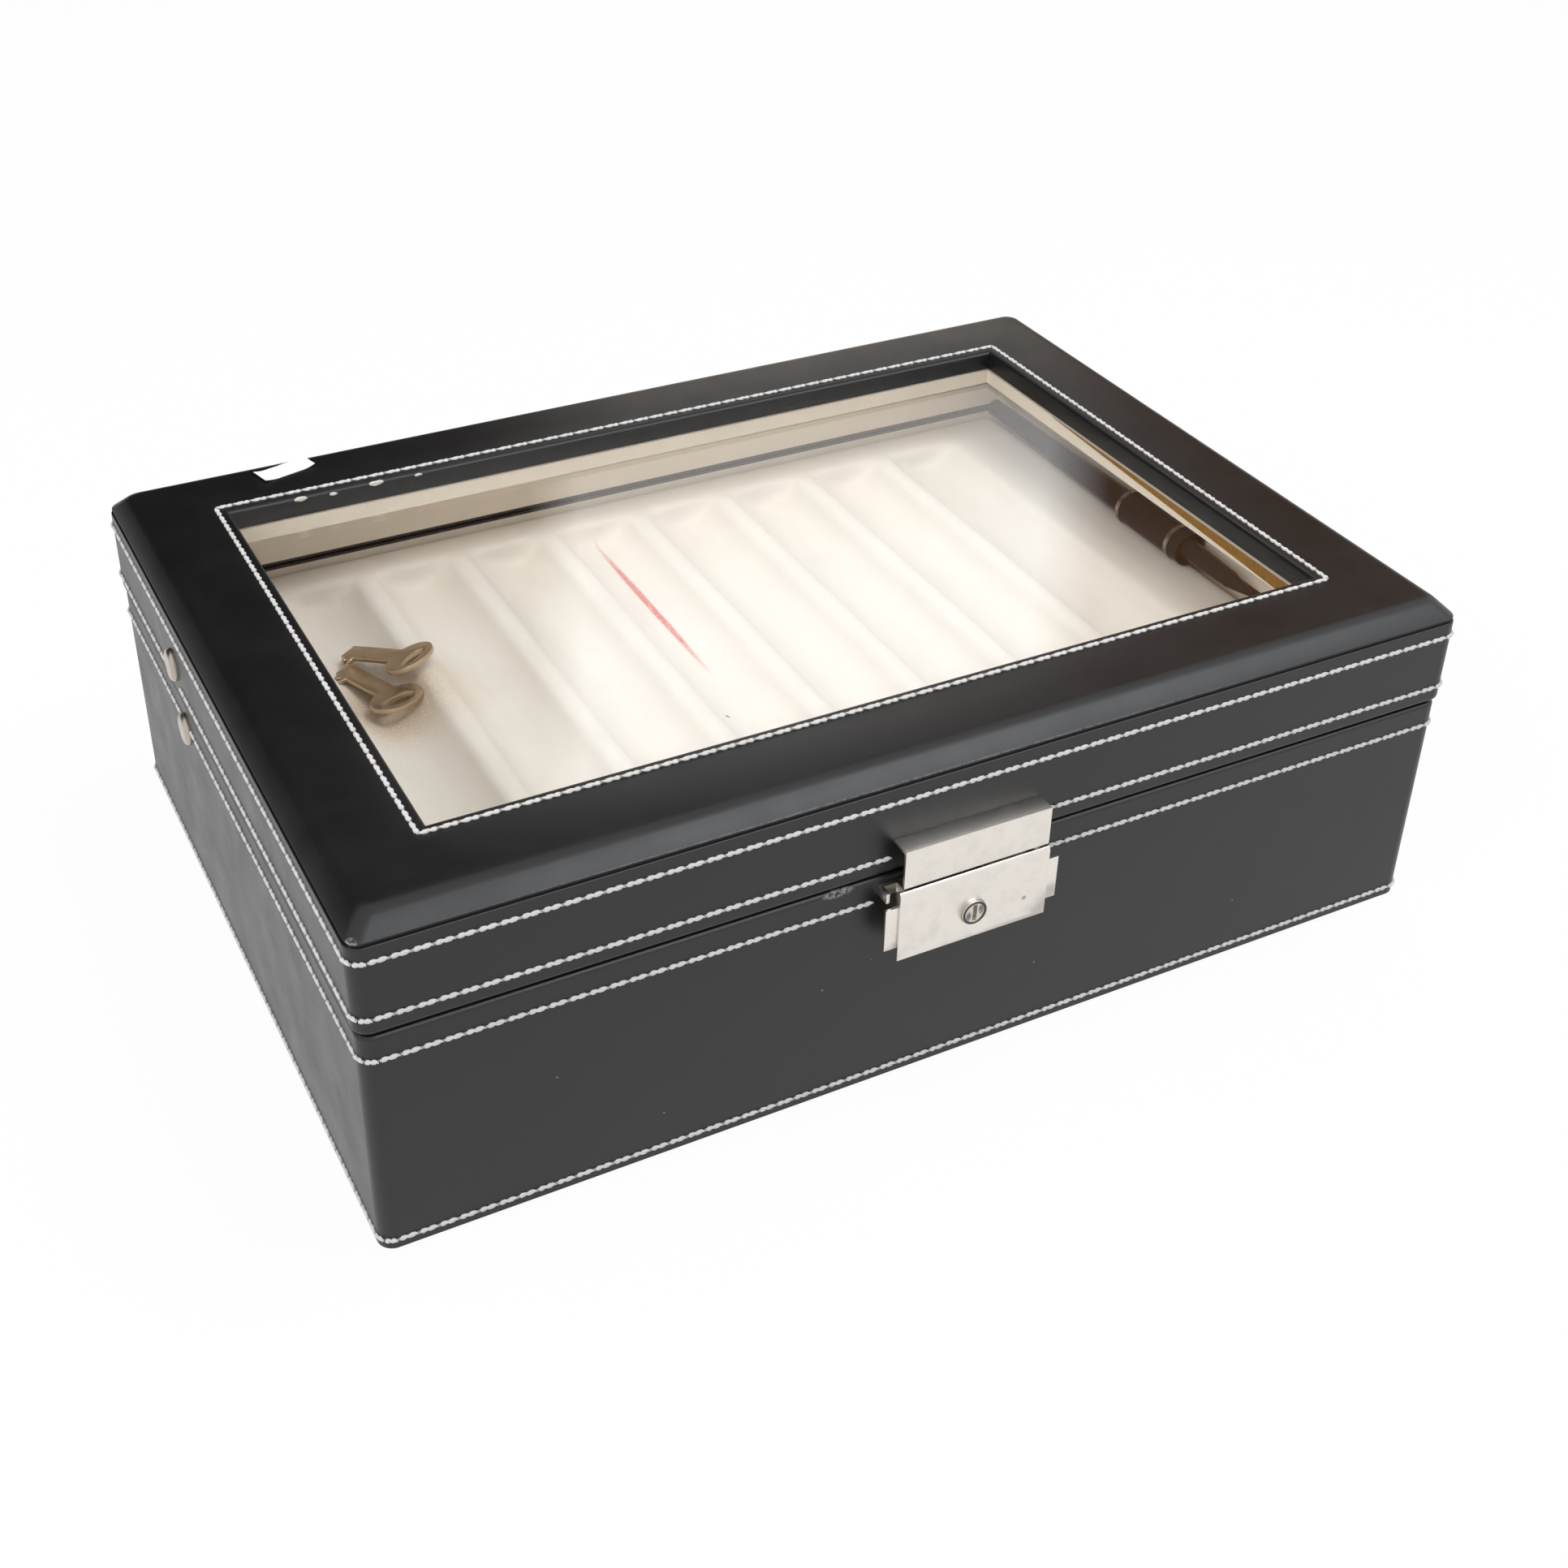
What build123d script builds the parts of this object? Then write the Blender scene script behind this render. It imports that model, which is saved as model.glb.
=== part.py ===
from build123d import *
from math import acos, atan2, cos, hypot, sin
import os

# Pen display case: a leather covered box with a glazed, hinged lid, millimetres.
# Origin at the centre of the underside, X to the right, Y to the back, Z up.

# Base box
CASE_WIDTH = 300.0
CASE_DEPTH = 212.0
BASE_HEIGHT = 65.5
CORNER_RADIUS = 4.0
LEATHER = 0.8
BOARD = 9.0
LINING = 1.2
BOTTOM_BOARD = 6.0
FELT = 1.0
FELT_INSET = 3.0
RIM_ROUNDING = 1.2
FLOOR_PAD = 5.0
FLOOR_PAD_CLEARANCE = 0.5

# Lid
LID_GAP = 0.9
LID_OVERHANG = 0.5
LID_HEIGHT = 29.9
BEVEL = 5.0
LID_ROOM = 17.8
WINDOW_BORDER = 27.5
BEVEL_CORNER_SHARE = 0.25
WINDOW_EDGE_ROUNDING = 1.2
BEVEL_EDGE_ROUNDING = 1.2
GROOVE_WIDTH = 0.8
GROOVE_ROUNDING = 0.4
BAND_ABOVE_PANEL = 0.1
GLASS = 2.0
GLASS_SEAT = 6.0
GLASS_CLEARANCE = 0.3

# Stitching
THREAD_WIDTH = 1.0
THREAD_HEIGHT = 0.4
WINDOW_STITCH_INSET = 24.6
LID_UPPER_STITCH_DROP = 9.8
LID_LOWER_STITCH_RISE = 4.6
BASE_UPPER_STITCH_DROP = 6.8
BASE_LOWER_STITCH_HEIGHT = 3.7
THREAD_CLEARANCE = 0.3

# Tray with its pen troughs
TRAY_SIDE_GAP = 3.5
TRAY_END_GAP = 1.25
TRAY_DROP = 1.5
TRAY_BOARD = 3.0
PAD_THICKNESS = 10.5
PAD_ROUNDING = 1.5
TROUGH_COUNT = 8
TROUGH_PITCH = 28.8
TROUGH_WIDTH = 23.5
TROUGH_DEPTH = 7.5
TROUGH_END_RIM = 11.75
TROUGH_EDGE_ROUNDING = 0.8
LEDGE_WIDTH = 10.0
LEDGE_HEIGHT = 6.0

# Hinges at the back
HINGE_SPACING = 190.0
HINGE_LENGTH = 30.0
HINGE_LEAF = 1.2
HINGE_LEAF_HEIGHT = 15.0
HINGE_LEAF_DROP = 2.95
HINGE_KNUCKLE_RADIUS = 2.2
HINGE_AXIS_OFFSET = 3.0
HINGE_KNUCKLE_GAP = 0.3
HINGE_MIDDLE_KNUCKLE = 11.4
HINGE_PIN_RADIUS = 1.0
HINGE_SCREW_SPREAD = 18.0
RUNNING_CLEARANCE = 0.05

# Screws
SCREW_RADIUS = 1.2
SCREW_HEAD_RADIUS = 2.0
SCREW_HEAD = 0.6
SCREW_BITE = 7.0

# Lock on the front
LOCK_X = 0.7
LOCK_WIDTH = 42.0
LOCK_PROUD = 6.3
SHEET = 0.8
LOCK_DROP = 1.5
LOCK_HEIGHT = 20.3
LOCK_TOP_FOLD = 0.5
EAR_REACH = 3.3
EAR_DROP = 4.5
EAR_HEIGHT = 12.2
LOCK_CASE_WIDTH = 38.0
LOCK_CASE_WALL = 1.5
LOCK_CASE_HEIGHT = 18.0
LOCK_CASE_DROP = 0.8
LOCK_BACK = 1.0
LOCK_SCREW_SPREAD = 24.0
LOCK_SCREW_RISE = 4.8
TAB_REACH = 4.5
TAB_HEIGHT = 2.8
TAB_DEPTH = 4.0
BARREL_RADIUS = 3.4
BARREL_PROUD = 0.6
BARREL_DROP = 12.5
KEYWAY_WIDTH = 1.2
KEYWAY_LENGTH = 4.8
KEYWAY_DEPTH = 1.6
CAM_REACH = 5.4
CAM_WIDTH = 2.4
CAM_THICKNESS = 1.2
BOLT_HEIGHT = 2.4
BOLT_LENGTH = 19.5
BOLT_SLIDE_CLEARANCE = 0.3
BOLT_CENTRE_DROP = 4.0
BOLT_NOSE_GAP = 0.8
BOLT_GUIDE_LENGTH = 9.0
BOLT_GUIDE_HEIGHT = 1.0

# Hasp on the lid
HASP_WIDTH = 40.5
HASP_RISE = 9.6
HASP_DROP = 10.7
HASP_BACK_WIDTH = 32.0
HASP_BACK_DROP = 8.0
HASP_SCREW_SPREAD = 22.0
HASP_SCREW_DROP = 4.6
TONGUE_WIDTH = 11.5
TONGUE_INSET = 4.5
TONGUE_THICKNESS = 1.2
TONGUE_LENGTH = 19.2
TONGUE_BACK_GAP = 1.4
NOTCH_DEPTH = 5.0
NOTCH_CLEARANCE = 0.5

# Folding lid stay inside the left wall
STAY_BASE_Y = 39.5
STAY_BASE_DROP = 8.9
STAY_LID_Y = 42.0
STAY_LID_RISE = 9.1
STAY_LINK_LENGTH = 56.9
STAY_LINK_WIDTH = 7.0
STAY_LINK_THICKNESS = 1.1
STAY_WALL_CLEARANCE = 0.3
STAY_LAYER_CLEARANCE = 0.2
STAY_RIVET_RADIUS = 2.0
STAY_ELBOW_RADIUS = 1.6
STAY_HEAD_RADIUS = 4.5
STAY_HEAD_HEIGHT = 1.6
STAY_HEAD_ROUNDING = 1.3
STAY_END_RADIUS = 3.0
STAY_END = 0.6
STAY_END_CLEARANCE = 0.1

# Blank paper label on the lid
LABEL_LENGTH = 16.0
LABEL_WIDTH = 6.6
LABEL_THICKNESS = 0.2
LABEL_SIDE_DISTANCE = 48.1
LABEL_EDGE_DISTANCE = 10.5
LABEL_ANGLE = 15.0

# Pen lying on the right border of the tray
PEN_WALL_CLEARANCE = 0.5
PEN_REST_CLEARANCE = 0.1
PEN_TAIL_CLEARANCE = 6.0
PEN_BARREL_LENGTH = 77.0
PEN_SLEEVE_LENGTH = 30.0
PEN_GRIP_LENGTH = 30.0
PEN_BARREL_RADIUS = 3.9
PEN_TAIL_RADIUS = 2.7
PEN_TAIL_ROUNDING = 1.0
PEN_SLEEVE_RADIUS = 5.2
PEN_SLEEVE_WALL = 0.6
PEN_SLEEVE_BORE_DEPTH = 4.0
PEN_RING_RADIUS = 5.5
PEN_RING_WIDTH = 1.6
PEN_RING_INSET = 4.2
PEN_GRIP_RADIUS = 3.3
PEN_GRIP_END_RADIUS = 2.6
PEN_NIB_LENGTH = 11.0
PEN_NIB_TIP_RADIUS = 0.4

# Two flat keys in the first trough. Each bow is placed from the trough's centre line,
# from the middle of the tray and from the tray's top.
KEY_THICKNESS = 1.4
KEY_BOW_LENGTH = 11.0
KEY_BOW_WIDTH = 9.6
KEY_HOLE_LENGTH = 3.6
KEY_HOLE_WIDTH = 5.4
KEY_HOLE_SHIFT = 1.6
KEY_LENGTH = 29.0
KEY_BLADE_WIDTH = 3.6
KEY_BIT_LENGTH = 3.0
KEY_BIT_WIDTH = 6.2
KEY_BIT_GAP = 2.0
KEY_NOTCH = 1.2
FIRST_KEY_ASIDE = 10.6
FIRST_KEY_BEHIND = 31.3
FIRST_KEY_RISE = 1.7
FIRST_KEY_YAW = 120.5
FIRST_KEY_PITCH = 15.5
FIRST_KEY_ROLL = -4.0
SECOND_KEY_ASIDE = 3.0
SECOND_KEY_BEHIND = 20.6
SECOND_KEY_DROP = 2.9
SECOND_KEY_YAW = 108.5
SECOND_KEY_PITCH = 4.5
SECOND_KEY_ROLL = 0.0

# Width of the search for edges at a level or of a length
EDGE_TOLERANCE = 0.01

# Levels and half sizes that follow from the driving dimensions
half_width = CASE_WIDTH / 2
half_depth = CASE_DEPTH / 2
inner_x = half_width - LEATHER - BOARD - LINING
inner_y = half_depth - LEATHER - BOARD - LINING
board_inner_x = inner_x + LINING
board_inner_y = inner_y + LINING
board_outer_x = half_width - LEATHER
board_outer_y = half_depth - LEATHER
board_corner = CORNER_RADIUS - LEATHER
floor_top = FELT + BOTTOM_BOARD
base_board_top = BASE_HEIGHT - LEATHER

lid_x = half_width + LID_OVERHANG
lid_y = half_depth + LID_OVERHANG
lid_bottom = BASE_HEIGHT + LID_GAP
lid_top = lid_bottom + LID_HEIGHT
lid_board_x = lid_x - LEATHER
lid_board_y = lid_y - LEATHER
ceiling = lid_bottom + LID_ROOM
panel_bottom = ceiling + LINING
bevel_bottom = lid_top - BEVEL
panel_top = bevel_bottom - GROOVE_WIDTH - BAND_ABOVE_PANEL
glass_bottom = panel_top - GLASS
frame_top = lid_top - LEATHER
window_x = lid_x - WINDOW_BORDER
window_y = lid_y - WINDOW_BORDER
bevel_skin = hypot(LEATHER, LEATHER)

tray_top = BASE_HEIGHT - TRAY_DROP
tray_x = inner_x - TRAY_SIDE_GAP
tray_y = inner_y - TRAY_END_GAP
pad_bottom = tray_top - PAD_THICKNESS
tray_bottom = pad_bottom - TRAY_BOARD
trough_radius = (TROUGH_WIDTH ** 2 / 4 + TROUGH_DEPTH ** 2) / (2 * TROUGH_DEPTH)
trough_axis_z = tray_top - TROUGH_DEPTH + trough_radius
trough_half_length = tray_y - TROUGH_END_RIM
first_trough_x = -TROUGH_PITCH * (TROUGH_COUNT - 1) / 2

hinge_y = half_depth + HINGE_AXIS_OFFSET
hinge_z = BASE_HEIGHT + LID_GAP / 2
knuckle_start = HINGE_MIDDLE_KNUCKLE / 2 + HINGE_KNUCKLE_GAP

front_y = -half_depth
lid_front_y = -lid_y
lock_top = BASE_HEIGHT - LOCK_DROP
ear_top = lock_top - EAR_DROP
lock_case_top = lock_top - LOCK_CASE_DROP
lock_case_bottom = lock_case_top - LOCK_CASE_HEIGHT
lock_screw_z = lock_case_bottom + LOCK_SCREW_RISE
barrel_z = lock_top - BARREL_DROP
bolt_z = lock_top - BOLT_CENTRE_DROP
hasp_top = lid_bottom + HASP_RISE
lock_face_y = front_y - LOCK_PROUD
ear_face_y = lock_face_y + SHEET
case_face_y = ear_face_y + SHEET
case_back_y = front_y - LOCK_BACK
tongue_left = LOCK_X + TONGUE_INSET
tongue_back_y = case_back_y - TONGUE_BACK_GAP

lower_link_x = -inner_x + STAY_WALL_CLEARANCE
upper_link_x = lower_link_x + STAY_LINK_THICKNESS + STAY_LAYER_CLEARANCE
stay_base_z = BASE_HEIGHT - STAY_BASE_DROP
stay_lid_z = lid_bottom + STAY_LID_RISE

pen_x = inner_x - PEN_RING_RADIUS - PEN_WALL_CLEARANCE
pen_tail_y = inner_y - PEN_TAIL_CLEARANCE
sleeve_back_y = pen_tail_y - PEN_BARREL_LENGTH
sleeve_front_y = sleeve_back_y - PEN_SLEEVE_LENGTH
pen_point_y = sleeve_front_y - PEN_GRIP_LENGTH
first_key_bow = (first_trough_x + FIRST_KEY_ASIDE, FIRST_KEY_BEHIND, tray_top + FIRST_KEY_RISE)
second_key_bow = (first_trough_x + SECOND_KEY_ASIDE, SECOND_KEY_BEHIND, tray_top - SECOND_KEY_DROP)


def block(x_range, y_range, z_range):
    """Box between two corners."""
    ranges = (x_range, y_range, z_range)
    size = [high - low for low, high in ranges]
    centre = [(high + low) / 2 for low, high in ranges]
    return Pos(*centre) * Box(*size)


def rounded_block(half_x, half_y, z_range, radius):
    """Upright block about the Z axis with round vertical corners."""
    outline = Pos(0, 0, z_range[0]) * RectangleRounded(2 * half_x, 2 * half_y, radius)
    return extrude(outline, amount=z_range[1] - z_range[0])


def well(half_x, half_y, z_range):
    """Straight cornered block about the Z axis, used as a cutter."""
    return block((-half_x, half_x), (-half_y, half_y), z_range)


def rod(radius, start, axis, length):
    """Cylinder that starts at a point and runs along an axis."""
    return Solid.make_cylinder(radius, length, Plane(origin=start, z_dir=axis))


def level_edges(shape, level):
    """Edges that lie at one level."""
    return shape.edges().filter_by_position(Axis.Z, level - EDGE_TOLERANCE, level + EDGE_TOLERANCE)


def outer_edges(shape, level, half_x, half_y):
    """Edges at one level that lie outside a centred rectangle."""
    edges = level_edges(shape, level)
    return [edge for edge in edges if abs(edge.center().X) > half_x or abs(edge.center().Y) > half_y]


def inner_edges(shape, level, half_x, half_y):
    """Edges at one level that lie within a centred rectangle."""
    edges = level_edges(shape, level)
    return [edge for edge in edges if abs(edge.center().X) < half_x and abs(edge.center().Y) < half_y]


def four_sides(ring, side_y):
    """Front, back, left and right boards of a rectangular ring, butt jointed."""
    reach = CASE_WIDTH
    tall = (0, CASE_WIDTH)
    return {
        "front": ring & block((-reach, reach), (-reach, -side_y), tall),
        "back": ring & block((-reach, reach), (side_y, reach), tall),
        "left": ring & block((-reach, 0), (-side_y, side_y), tall),
        "right": ring & block((0, reach), (-side_y, side_y), tall),
    }


def mitred_sides(ring, corner_x, corner_y):
    """Front, back, left and right rails of a ring, mitred at the corners."""
    reach = WINDOW_BORDER + LID_OVERHANG
    outer_x = corner_x + reach
    outer_y = corner_y + reach

    def mitre(side_x, side_y):
        inner = (side_x * corner_x, side_y * corner_y)
        outer = (side_x * outer_x, side_y * outer_y)
        return inner, outer

    def rail(first, second):
        points = (first[0], first[1], second[1], second[0])
        return ring & extrude(Polygon(*points, align=None), amount=CASE_WIDTH)

    front_left = mitre(-1, -1)
    front_right = mitre(1, -1)
    back_left = mitre(-1, 1)
    back_right = mitre(1, 1)
    return {
        "front": rail(front_left, front_right),
        "back": rail(back_right, back_left),
        "left": rail(back_left, front_left),
        "right": rail(front_right, back_right),
    }


# Screws, each with its head, its shank and the hole that it needs


def screw(x, seat_y, z, inward):
    """Screw whose head lies on a surface at seat_y, driven inward along Y."""
    head = rod(SCREW_HEAD_RADIUS, (x, seat_y - inward * SCREW_HEAD, z), (0, inward, 0), SCREW_HEAD)
    shank = rod(SCREW_RADIUS, (x, seat_y, z), (0, inward, 0), SCREW_BITE + HINGE_LEAF)
    return head + shank


def screw_hole(x, seat_y, z, inward):
    """Hole for the shank of one screw."""
    depth = SCREW_BITE + HINGE_LEAF + RUNNING_CLEARANCE
    return rod(SCREW_RADIUS + RUNNING_CLEARANCE, (x, seat_y, z), (0, inward, 0), depth)


lock_screw_seats = [
    (LOCK_X + side * LOCK_SCREW_SPREAD / 2, case_back_y, lock_screw_z, 1) for side in (-1, 1)
]
hasp_screw_seats = [
    (LOCK_X + side * HASP_SCREW_SPREAD / 2, lid_front_y - SHEET, hasp_top - HASP_SCREW_DROP, 1)
    for side in (-1, 1)
]
hinge_screw_xs = [
    hinge * HINGE_SPACING / 2 + side * HINGE_SCREW_SPREAD / 2 for hinge in (-1, 1) for side in (-1, 1)
]
base_leaf_top = hinge_z - HINGE_LEAF_DROP
lid_leaf_bottom = hinge_z + HINGE_LEAF_DROP
hinge_base_seats = [
    (x, half_depth + HINGE_LEAF, base_leaf_top - HINGE_LEAF_HEIGHT / 2, -1) for x in hinge_screw_xs
]
hinge_lid_seats = [
    (x, lid_y + HINGE_LEAF, lid_leaf_bottom + HINGE_LEAF_HEIGHT / 2, -1) for x in hinge_screw_xs
]
base_drillings = [screw_hole(*seat) for seat in lock_screw_seats + hinge_base_seats]
lid_drillings = [screw_hole(*seat) for seat in hasp_screw_seats + hinge_lid_seats]

# Bores for the two rivets of the stay
stay_bore_radius = STAY_RIVET_RADIUS + RUNNING_CLEARANCE
stay_bore_length = half_width - inner_x + LID_OVERHANG
stay_base_start = (-half_width, STAY_BASE_Y, stay_base_z)
stay_lid_start = (-lid_x, STAY_LID_Y, stay_lid_z)
base_drillings.append(rod(stay_bore_radius, stay_base_start, (1, 0, 0), stay_bore_length))
lid_drillings.append(rod(stay_bore_radius, stay_lid_start, (1, 0, 0), stay_bore_length))


def drilled(shape, drillings):
    """Shape with the given holes cut through it."""
    for drilling in drillings:
        shape = shape - drilling
    return shape


# Base boards


def base_boards():
    """Four wall boards of the base, standing on the bottom board."""
    levels = (floor_top, base_board_top)
    ring = rounded_block(board_outer_x, board_outer_y, levels, board_corner)
    ring = ring - well(board_inner_x, board_inner_y, levels)
    sides = four_sides(ring, board_inner_y)
    return {f"base_{side}_board": drilled(board, base_drillings) for side, board in sides.items()}


def base_bottom_board():
    """Bottom board under all four walls."""
    return rounded_block(board_outer_x, board_outer_y, (FELT, floor_top), board_corner)


def base_leather_cover():
    """Leather round the base, turned in over the rim."""
    skin = rounded_block(half_width, half_depth, (FELT, BASE_HEIGHT), CORNER_RADIUS)
    skin = fillet(outer_edges(skin, BASE_HEIGHT, inner_x, inner_y), RIM_ROUNDING)
    skin = skin - rounded_block(board_outer_x, board_outer_y, (FELT, base_board_top), board_corner)
    skin = skin - well(inner_x, inner_y, (base_board_top, BASE_HEIGHT))
    return drilled(skin, base_drillings)


def base_wall_lining():
    """Suede lining on the inner walls of the base."""
    levels = (floor_top, base_board_top)
    ring = well(board_inner_x, board_inner_y, levels) - well(inner_x, inner_y, levels)
    return drilled(ring, base_drillings)


def base_floor_pad():
    """Thin padded floor of the room under the tray."""
    pad_x = inner_x - FLOOR_PAD_CLEARANCE
    pad_y = inner_y - FLOOR_PAD_CLEARANCE
    pad = well(pad_x, pad_y, (floor_top, floor_top + FLOOR_PAD))
    return fillet(pad.edges().group_by(Axis.Z)[-1], PAD_ROUNDING)


def underside_felt():
    """Felt sheet that the case stands on."""
    return rounded_block(half_width - FELT_INSET, half_depth - FELT_INSET, (0, FELT), CORNER_RADIUS)


def tray_ledges():
    """Two ledges on the side walls that carry the tray."""
    levels = (tray_bottom - LEDGE_HEIGHT, tray_bottom)
    span = (-inner_y, inner_y)
    left = block((-inner_x, -inner_x + LEDGE_WIDTH), span, levels)
    right = block((inner_x - LEDGE_WIDTH, inner_x), span, levels)
    return [left, right]


# Lid boards and frames


def lid_boards():
    """Four wall boards of the lid."""
    levels = (lid_bottom + LEATHER, panel_bottom)
    ring = rounded_block(lid_board_x, lid_board_y, levels, board_corner)
    ring = ring - well(board_inner_x, board_inner_y, levels)
    sides = four_sides(ring, board_inner_y)
    return {f"lid_{side}_board": drilled(board, lid_drillings) for side, board in sides.items()}


def glazing_rails():
    """Frame on the lid walls, with the rebate that the glass lies in."""
    ring = rounded_block(lid_board_x, lid_board_y, (panel_bottom, panel_top), board_corner)
    opening_x = window_x + LINING
    opening_y = window_y + LINING
    ring = ring - well(opening_x, opening_y, (panel_bottom, panel_top))
    ring = ring - well(window_x + GLASS_SEAT, window_y + GLASS_SEAT, (glass_bottom, panel_top))
    sides = four_sides(ring, opening_y)
    return {f"glazing_{side}_rail": rail for side, rail in sides.items()}


def bevelled_body(inset, slope_inset, levels):
    """Upright slab whose outer faces lean in at 45 degrees."""
    low, high = levels
    rise = high - low
    bottom_radius = CORNER_RADIUS - inset
    top_radius = bottom_radius * BEVEL_CORNER_SHARE
    lean = slope_inset + rise
    bottom = RectangleRounded(2 * (lid_x - slope_inset), 2 * (lid_y - slope_inset), bottom_radius)
    top = RectangleRounded(2 * (lid_x - lean), 2 * (lid_y - lean), top_radius)
    return loft([Pos(0, 0, low) * bottom, Pos(0, 0, high) * top], ruled=True)


def bevelled_frame():
    """Wooden core of the bevelled top frame, with its window."""
    core = bevelled_body(LEATHER, bevel_skin, (bevel_bottom, frame_top))
    foot_x = lid_x - bevel_skin
    foot_y = lid_y - bevel_skin
    foot = rounded_block(foot_x, foot_y, (panel_top, bevel_bottom), CORNER_RADIUS - LEATHER)
    opening = well(window_x + LEATHER, window_y + LEATHER, (panel_top, frame_top))
    return core + foot - opening


def bevelled_rails():
    """Four mitred rails of the bevelled frame."""
    sides = mitred_sides(bevelled_frame(), window_x + LEATHER, window_y + LEATHER)
    return {f"bevelled_{side}_rail": rail for side, rail in sides.items()}


def lid_top_leather():
    """Leather over the bevelled frame and down into the window."""
    skin = bevelled_body(0, 0, (bevel_bottom, lid_top))
    skin = fillet(outer_edges(skin, lid_top, window_x, window_y), BEVEL_EDGE_ROUNDING)
    skin = skin - well(window_x, window_y, (bevel_bottom, lid_top))
    skin = fillet(inner_edges(skin, lid_top, window_x + LEATHER, window_y + LEATHER), WINDOW_EDGE_ROUNDING)
    lip = well(window_x + LEATHER, window_y + LEATHER, (panel_top, bevel_bottom))
    lip = lip - well(window_x, window_y, (panel_top, bevel_bottom))
    return skin + lip - bevelled_frame()


def lid_side_leather():
    """Leather band round the lid, turned in under the rim."""
    band_top = bevel_bottom - GROOVE_WIDTH
    skin = rounded_block(lid_x, lid_y, (lid_bottom, band_top), CORNER_RADIUS)
    skin = fillet(outer_edges(skin, lid_bottom, inner_x, inner_y), RIM_ROUNDING)
    skin = fillet(outer_edges(skin, band_top, inner_x, inner_y), GROOVE_ROUNDING)
    skin = skin - rounded_block(lid_board_x, lid_board_y, (lid_bottom + LEATHER, band_top), board_corner)
    skin = skin - well(inner_x, inner_y, (lid_bottom, lid_bottom + LEATHER))
    return drilled(skin, lid_drillings)


def lid_wall_lining():
    """Suede lining on the inner walls of the lid."""
    levels = (lid_bottom + LEATHER, panel_bottom)
    ring = well(board_inner_x, board_inner_y, levels) - well(inner_x, inner_y, levels)
    return drilled(ring, lid_drillings)


def lid_ceiling_lining():
    """Lining under the glazing rails, turned up into the window to the glass."""
    sheet = well(inner_x, inner_y, (ceiling, panel_bottom))
    collar = well(window_x + LINING, window_y + LINING, (panel_bottom, glass_bottom))
    return sheet + collar - well(window_x, window_y, (ceiling, glass_bottom))


def window_glass():
    """Pane in the rebate of the glazing rails."""
    margin = GLASS_SEAT - GLASS_CLEARANCE
    return well(window_x + margin, window_y + margin, (glass_bottom, panel_top))


# Rows of thread


def thread_row(half_x, half_y, level, gaps):
    """Row of thread round a leather wall, left out where metal covers it."""
    levels = (level - THREAD_WIDTH / 2, level + THREAD_WIDTH / 2)
    outer_x = half_x + THREAD_HEIGHT
    outer_y = half_y + THREAD_HEIGHT
    row = rounded_block(outer_x, outer_y, levels, CORNER_RADIUS + THREAD_HEIGHT)
    row = row - rounded_block(half_x, half_y, levels, CORNER_RADIUS)
    for gap in gaps:
        row = row - gap
    return row.solids()


def hinge_gaps(levels):
    """Stretches of the back wall that the hinge leaves cover."""
    half = HINGE_LENGTH / 2 + THREAD_CLEARANCE
    centres = (-HINGE_SPACING / 2, HINGE_SPACING / 2)
    return [block((x - half, x + half), (0, CASE_DEPTH), levels) for x in centres]


def front_gap(half, levels):
    """Stretch of the front wall that the lock or the hasp covers."""
    return block((LOCK_X - half, LOCK_X + half), (-CASE_DEPTH, 0), levels)


def rivet_gap(y, z):
    """Round patch of the left wall that a rivet head covers."""
    return rod(STAY_HEAD_RADIUS + THREAD_CLEARANCE, (-CASE_WIDTH, y, z), (1, 0, 0), CASE_WIDTH)


def window_stitching():
    """Row of thread round the window, on the top of the lid."""
    row_x = lid_x - WINDOW_STITCH_INSET
    row_y = lid_y - WINDOW_STITCH_INSET
    levels = (lid_top, lid_top + THREAD_HEIGHT)
    half = THREAD_WIDTH / 2
    return well(row_x + half, row_y + half, levels) - well(row_x - half, row_y - half, levels)


def side_stitching():
    """Two rows of thread on the lid wall and two on the base wall."""
    whole = (0, CASE_WIDTH)
    lock_half = LOCK_WIDTH / 2 + EAR_REACH + THREAD_CLEARANCE
    hasp_half = HASP_WIDTH / 2 + THREAD_CLEARANCE
    lid_gaps = hinge_gaps(whole)
    lid_gaps += [front_gap(hasp_half, whole), rivet_gap(STAY_LID_Y, stay_lid_z)]
    base_gaps = hinge_gaps(whole)
    base_gaps += [front_gap(lock_half, whole), rivet_gap(STAY_BASE_Y, stay_base_z)]
    lid_upper = lid_top - LID_UPPER_STITCH_DROP
    lid_lower = lid_bottom + LID_LOWER_STITCH_RISE
    base_upper = BASE_HEIGHT - BASE_UPPER_STITCH_DROP
    return {
        "lid_upper_stitching": thread_row(lid_x, lid_y, lid_upper, []),
        "lid_lower_stitching": thread_row(lid_x, lid_y, lid_lower, lid_gaps),
        "base_upper_stitching": thread_row(half_width, half_depth, base_upper, base_gaps),
        "base_lower_stitching": thread_row(half_width, half_depth, BASE_LOWER_STITCH_HEIGHT, []),
    }


# Hinges


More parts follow.
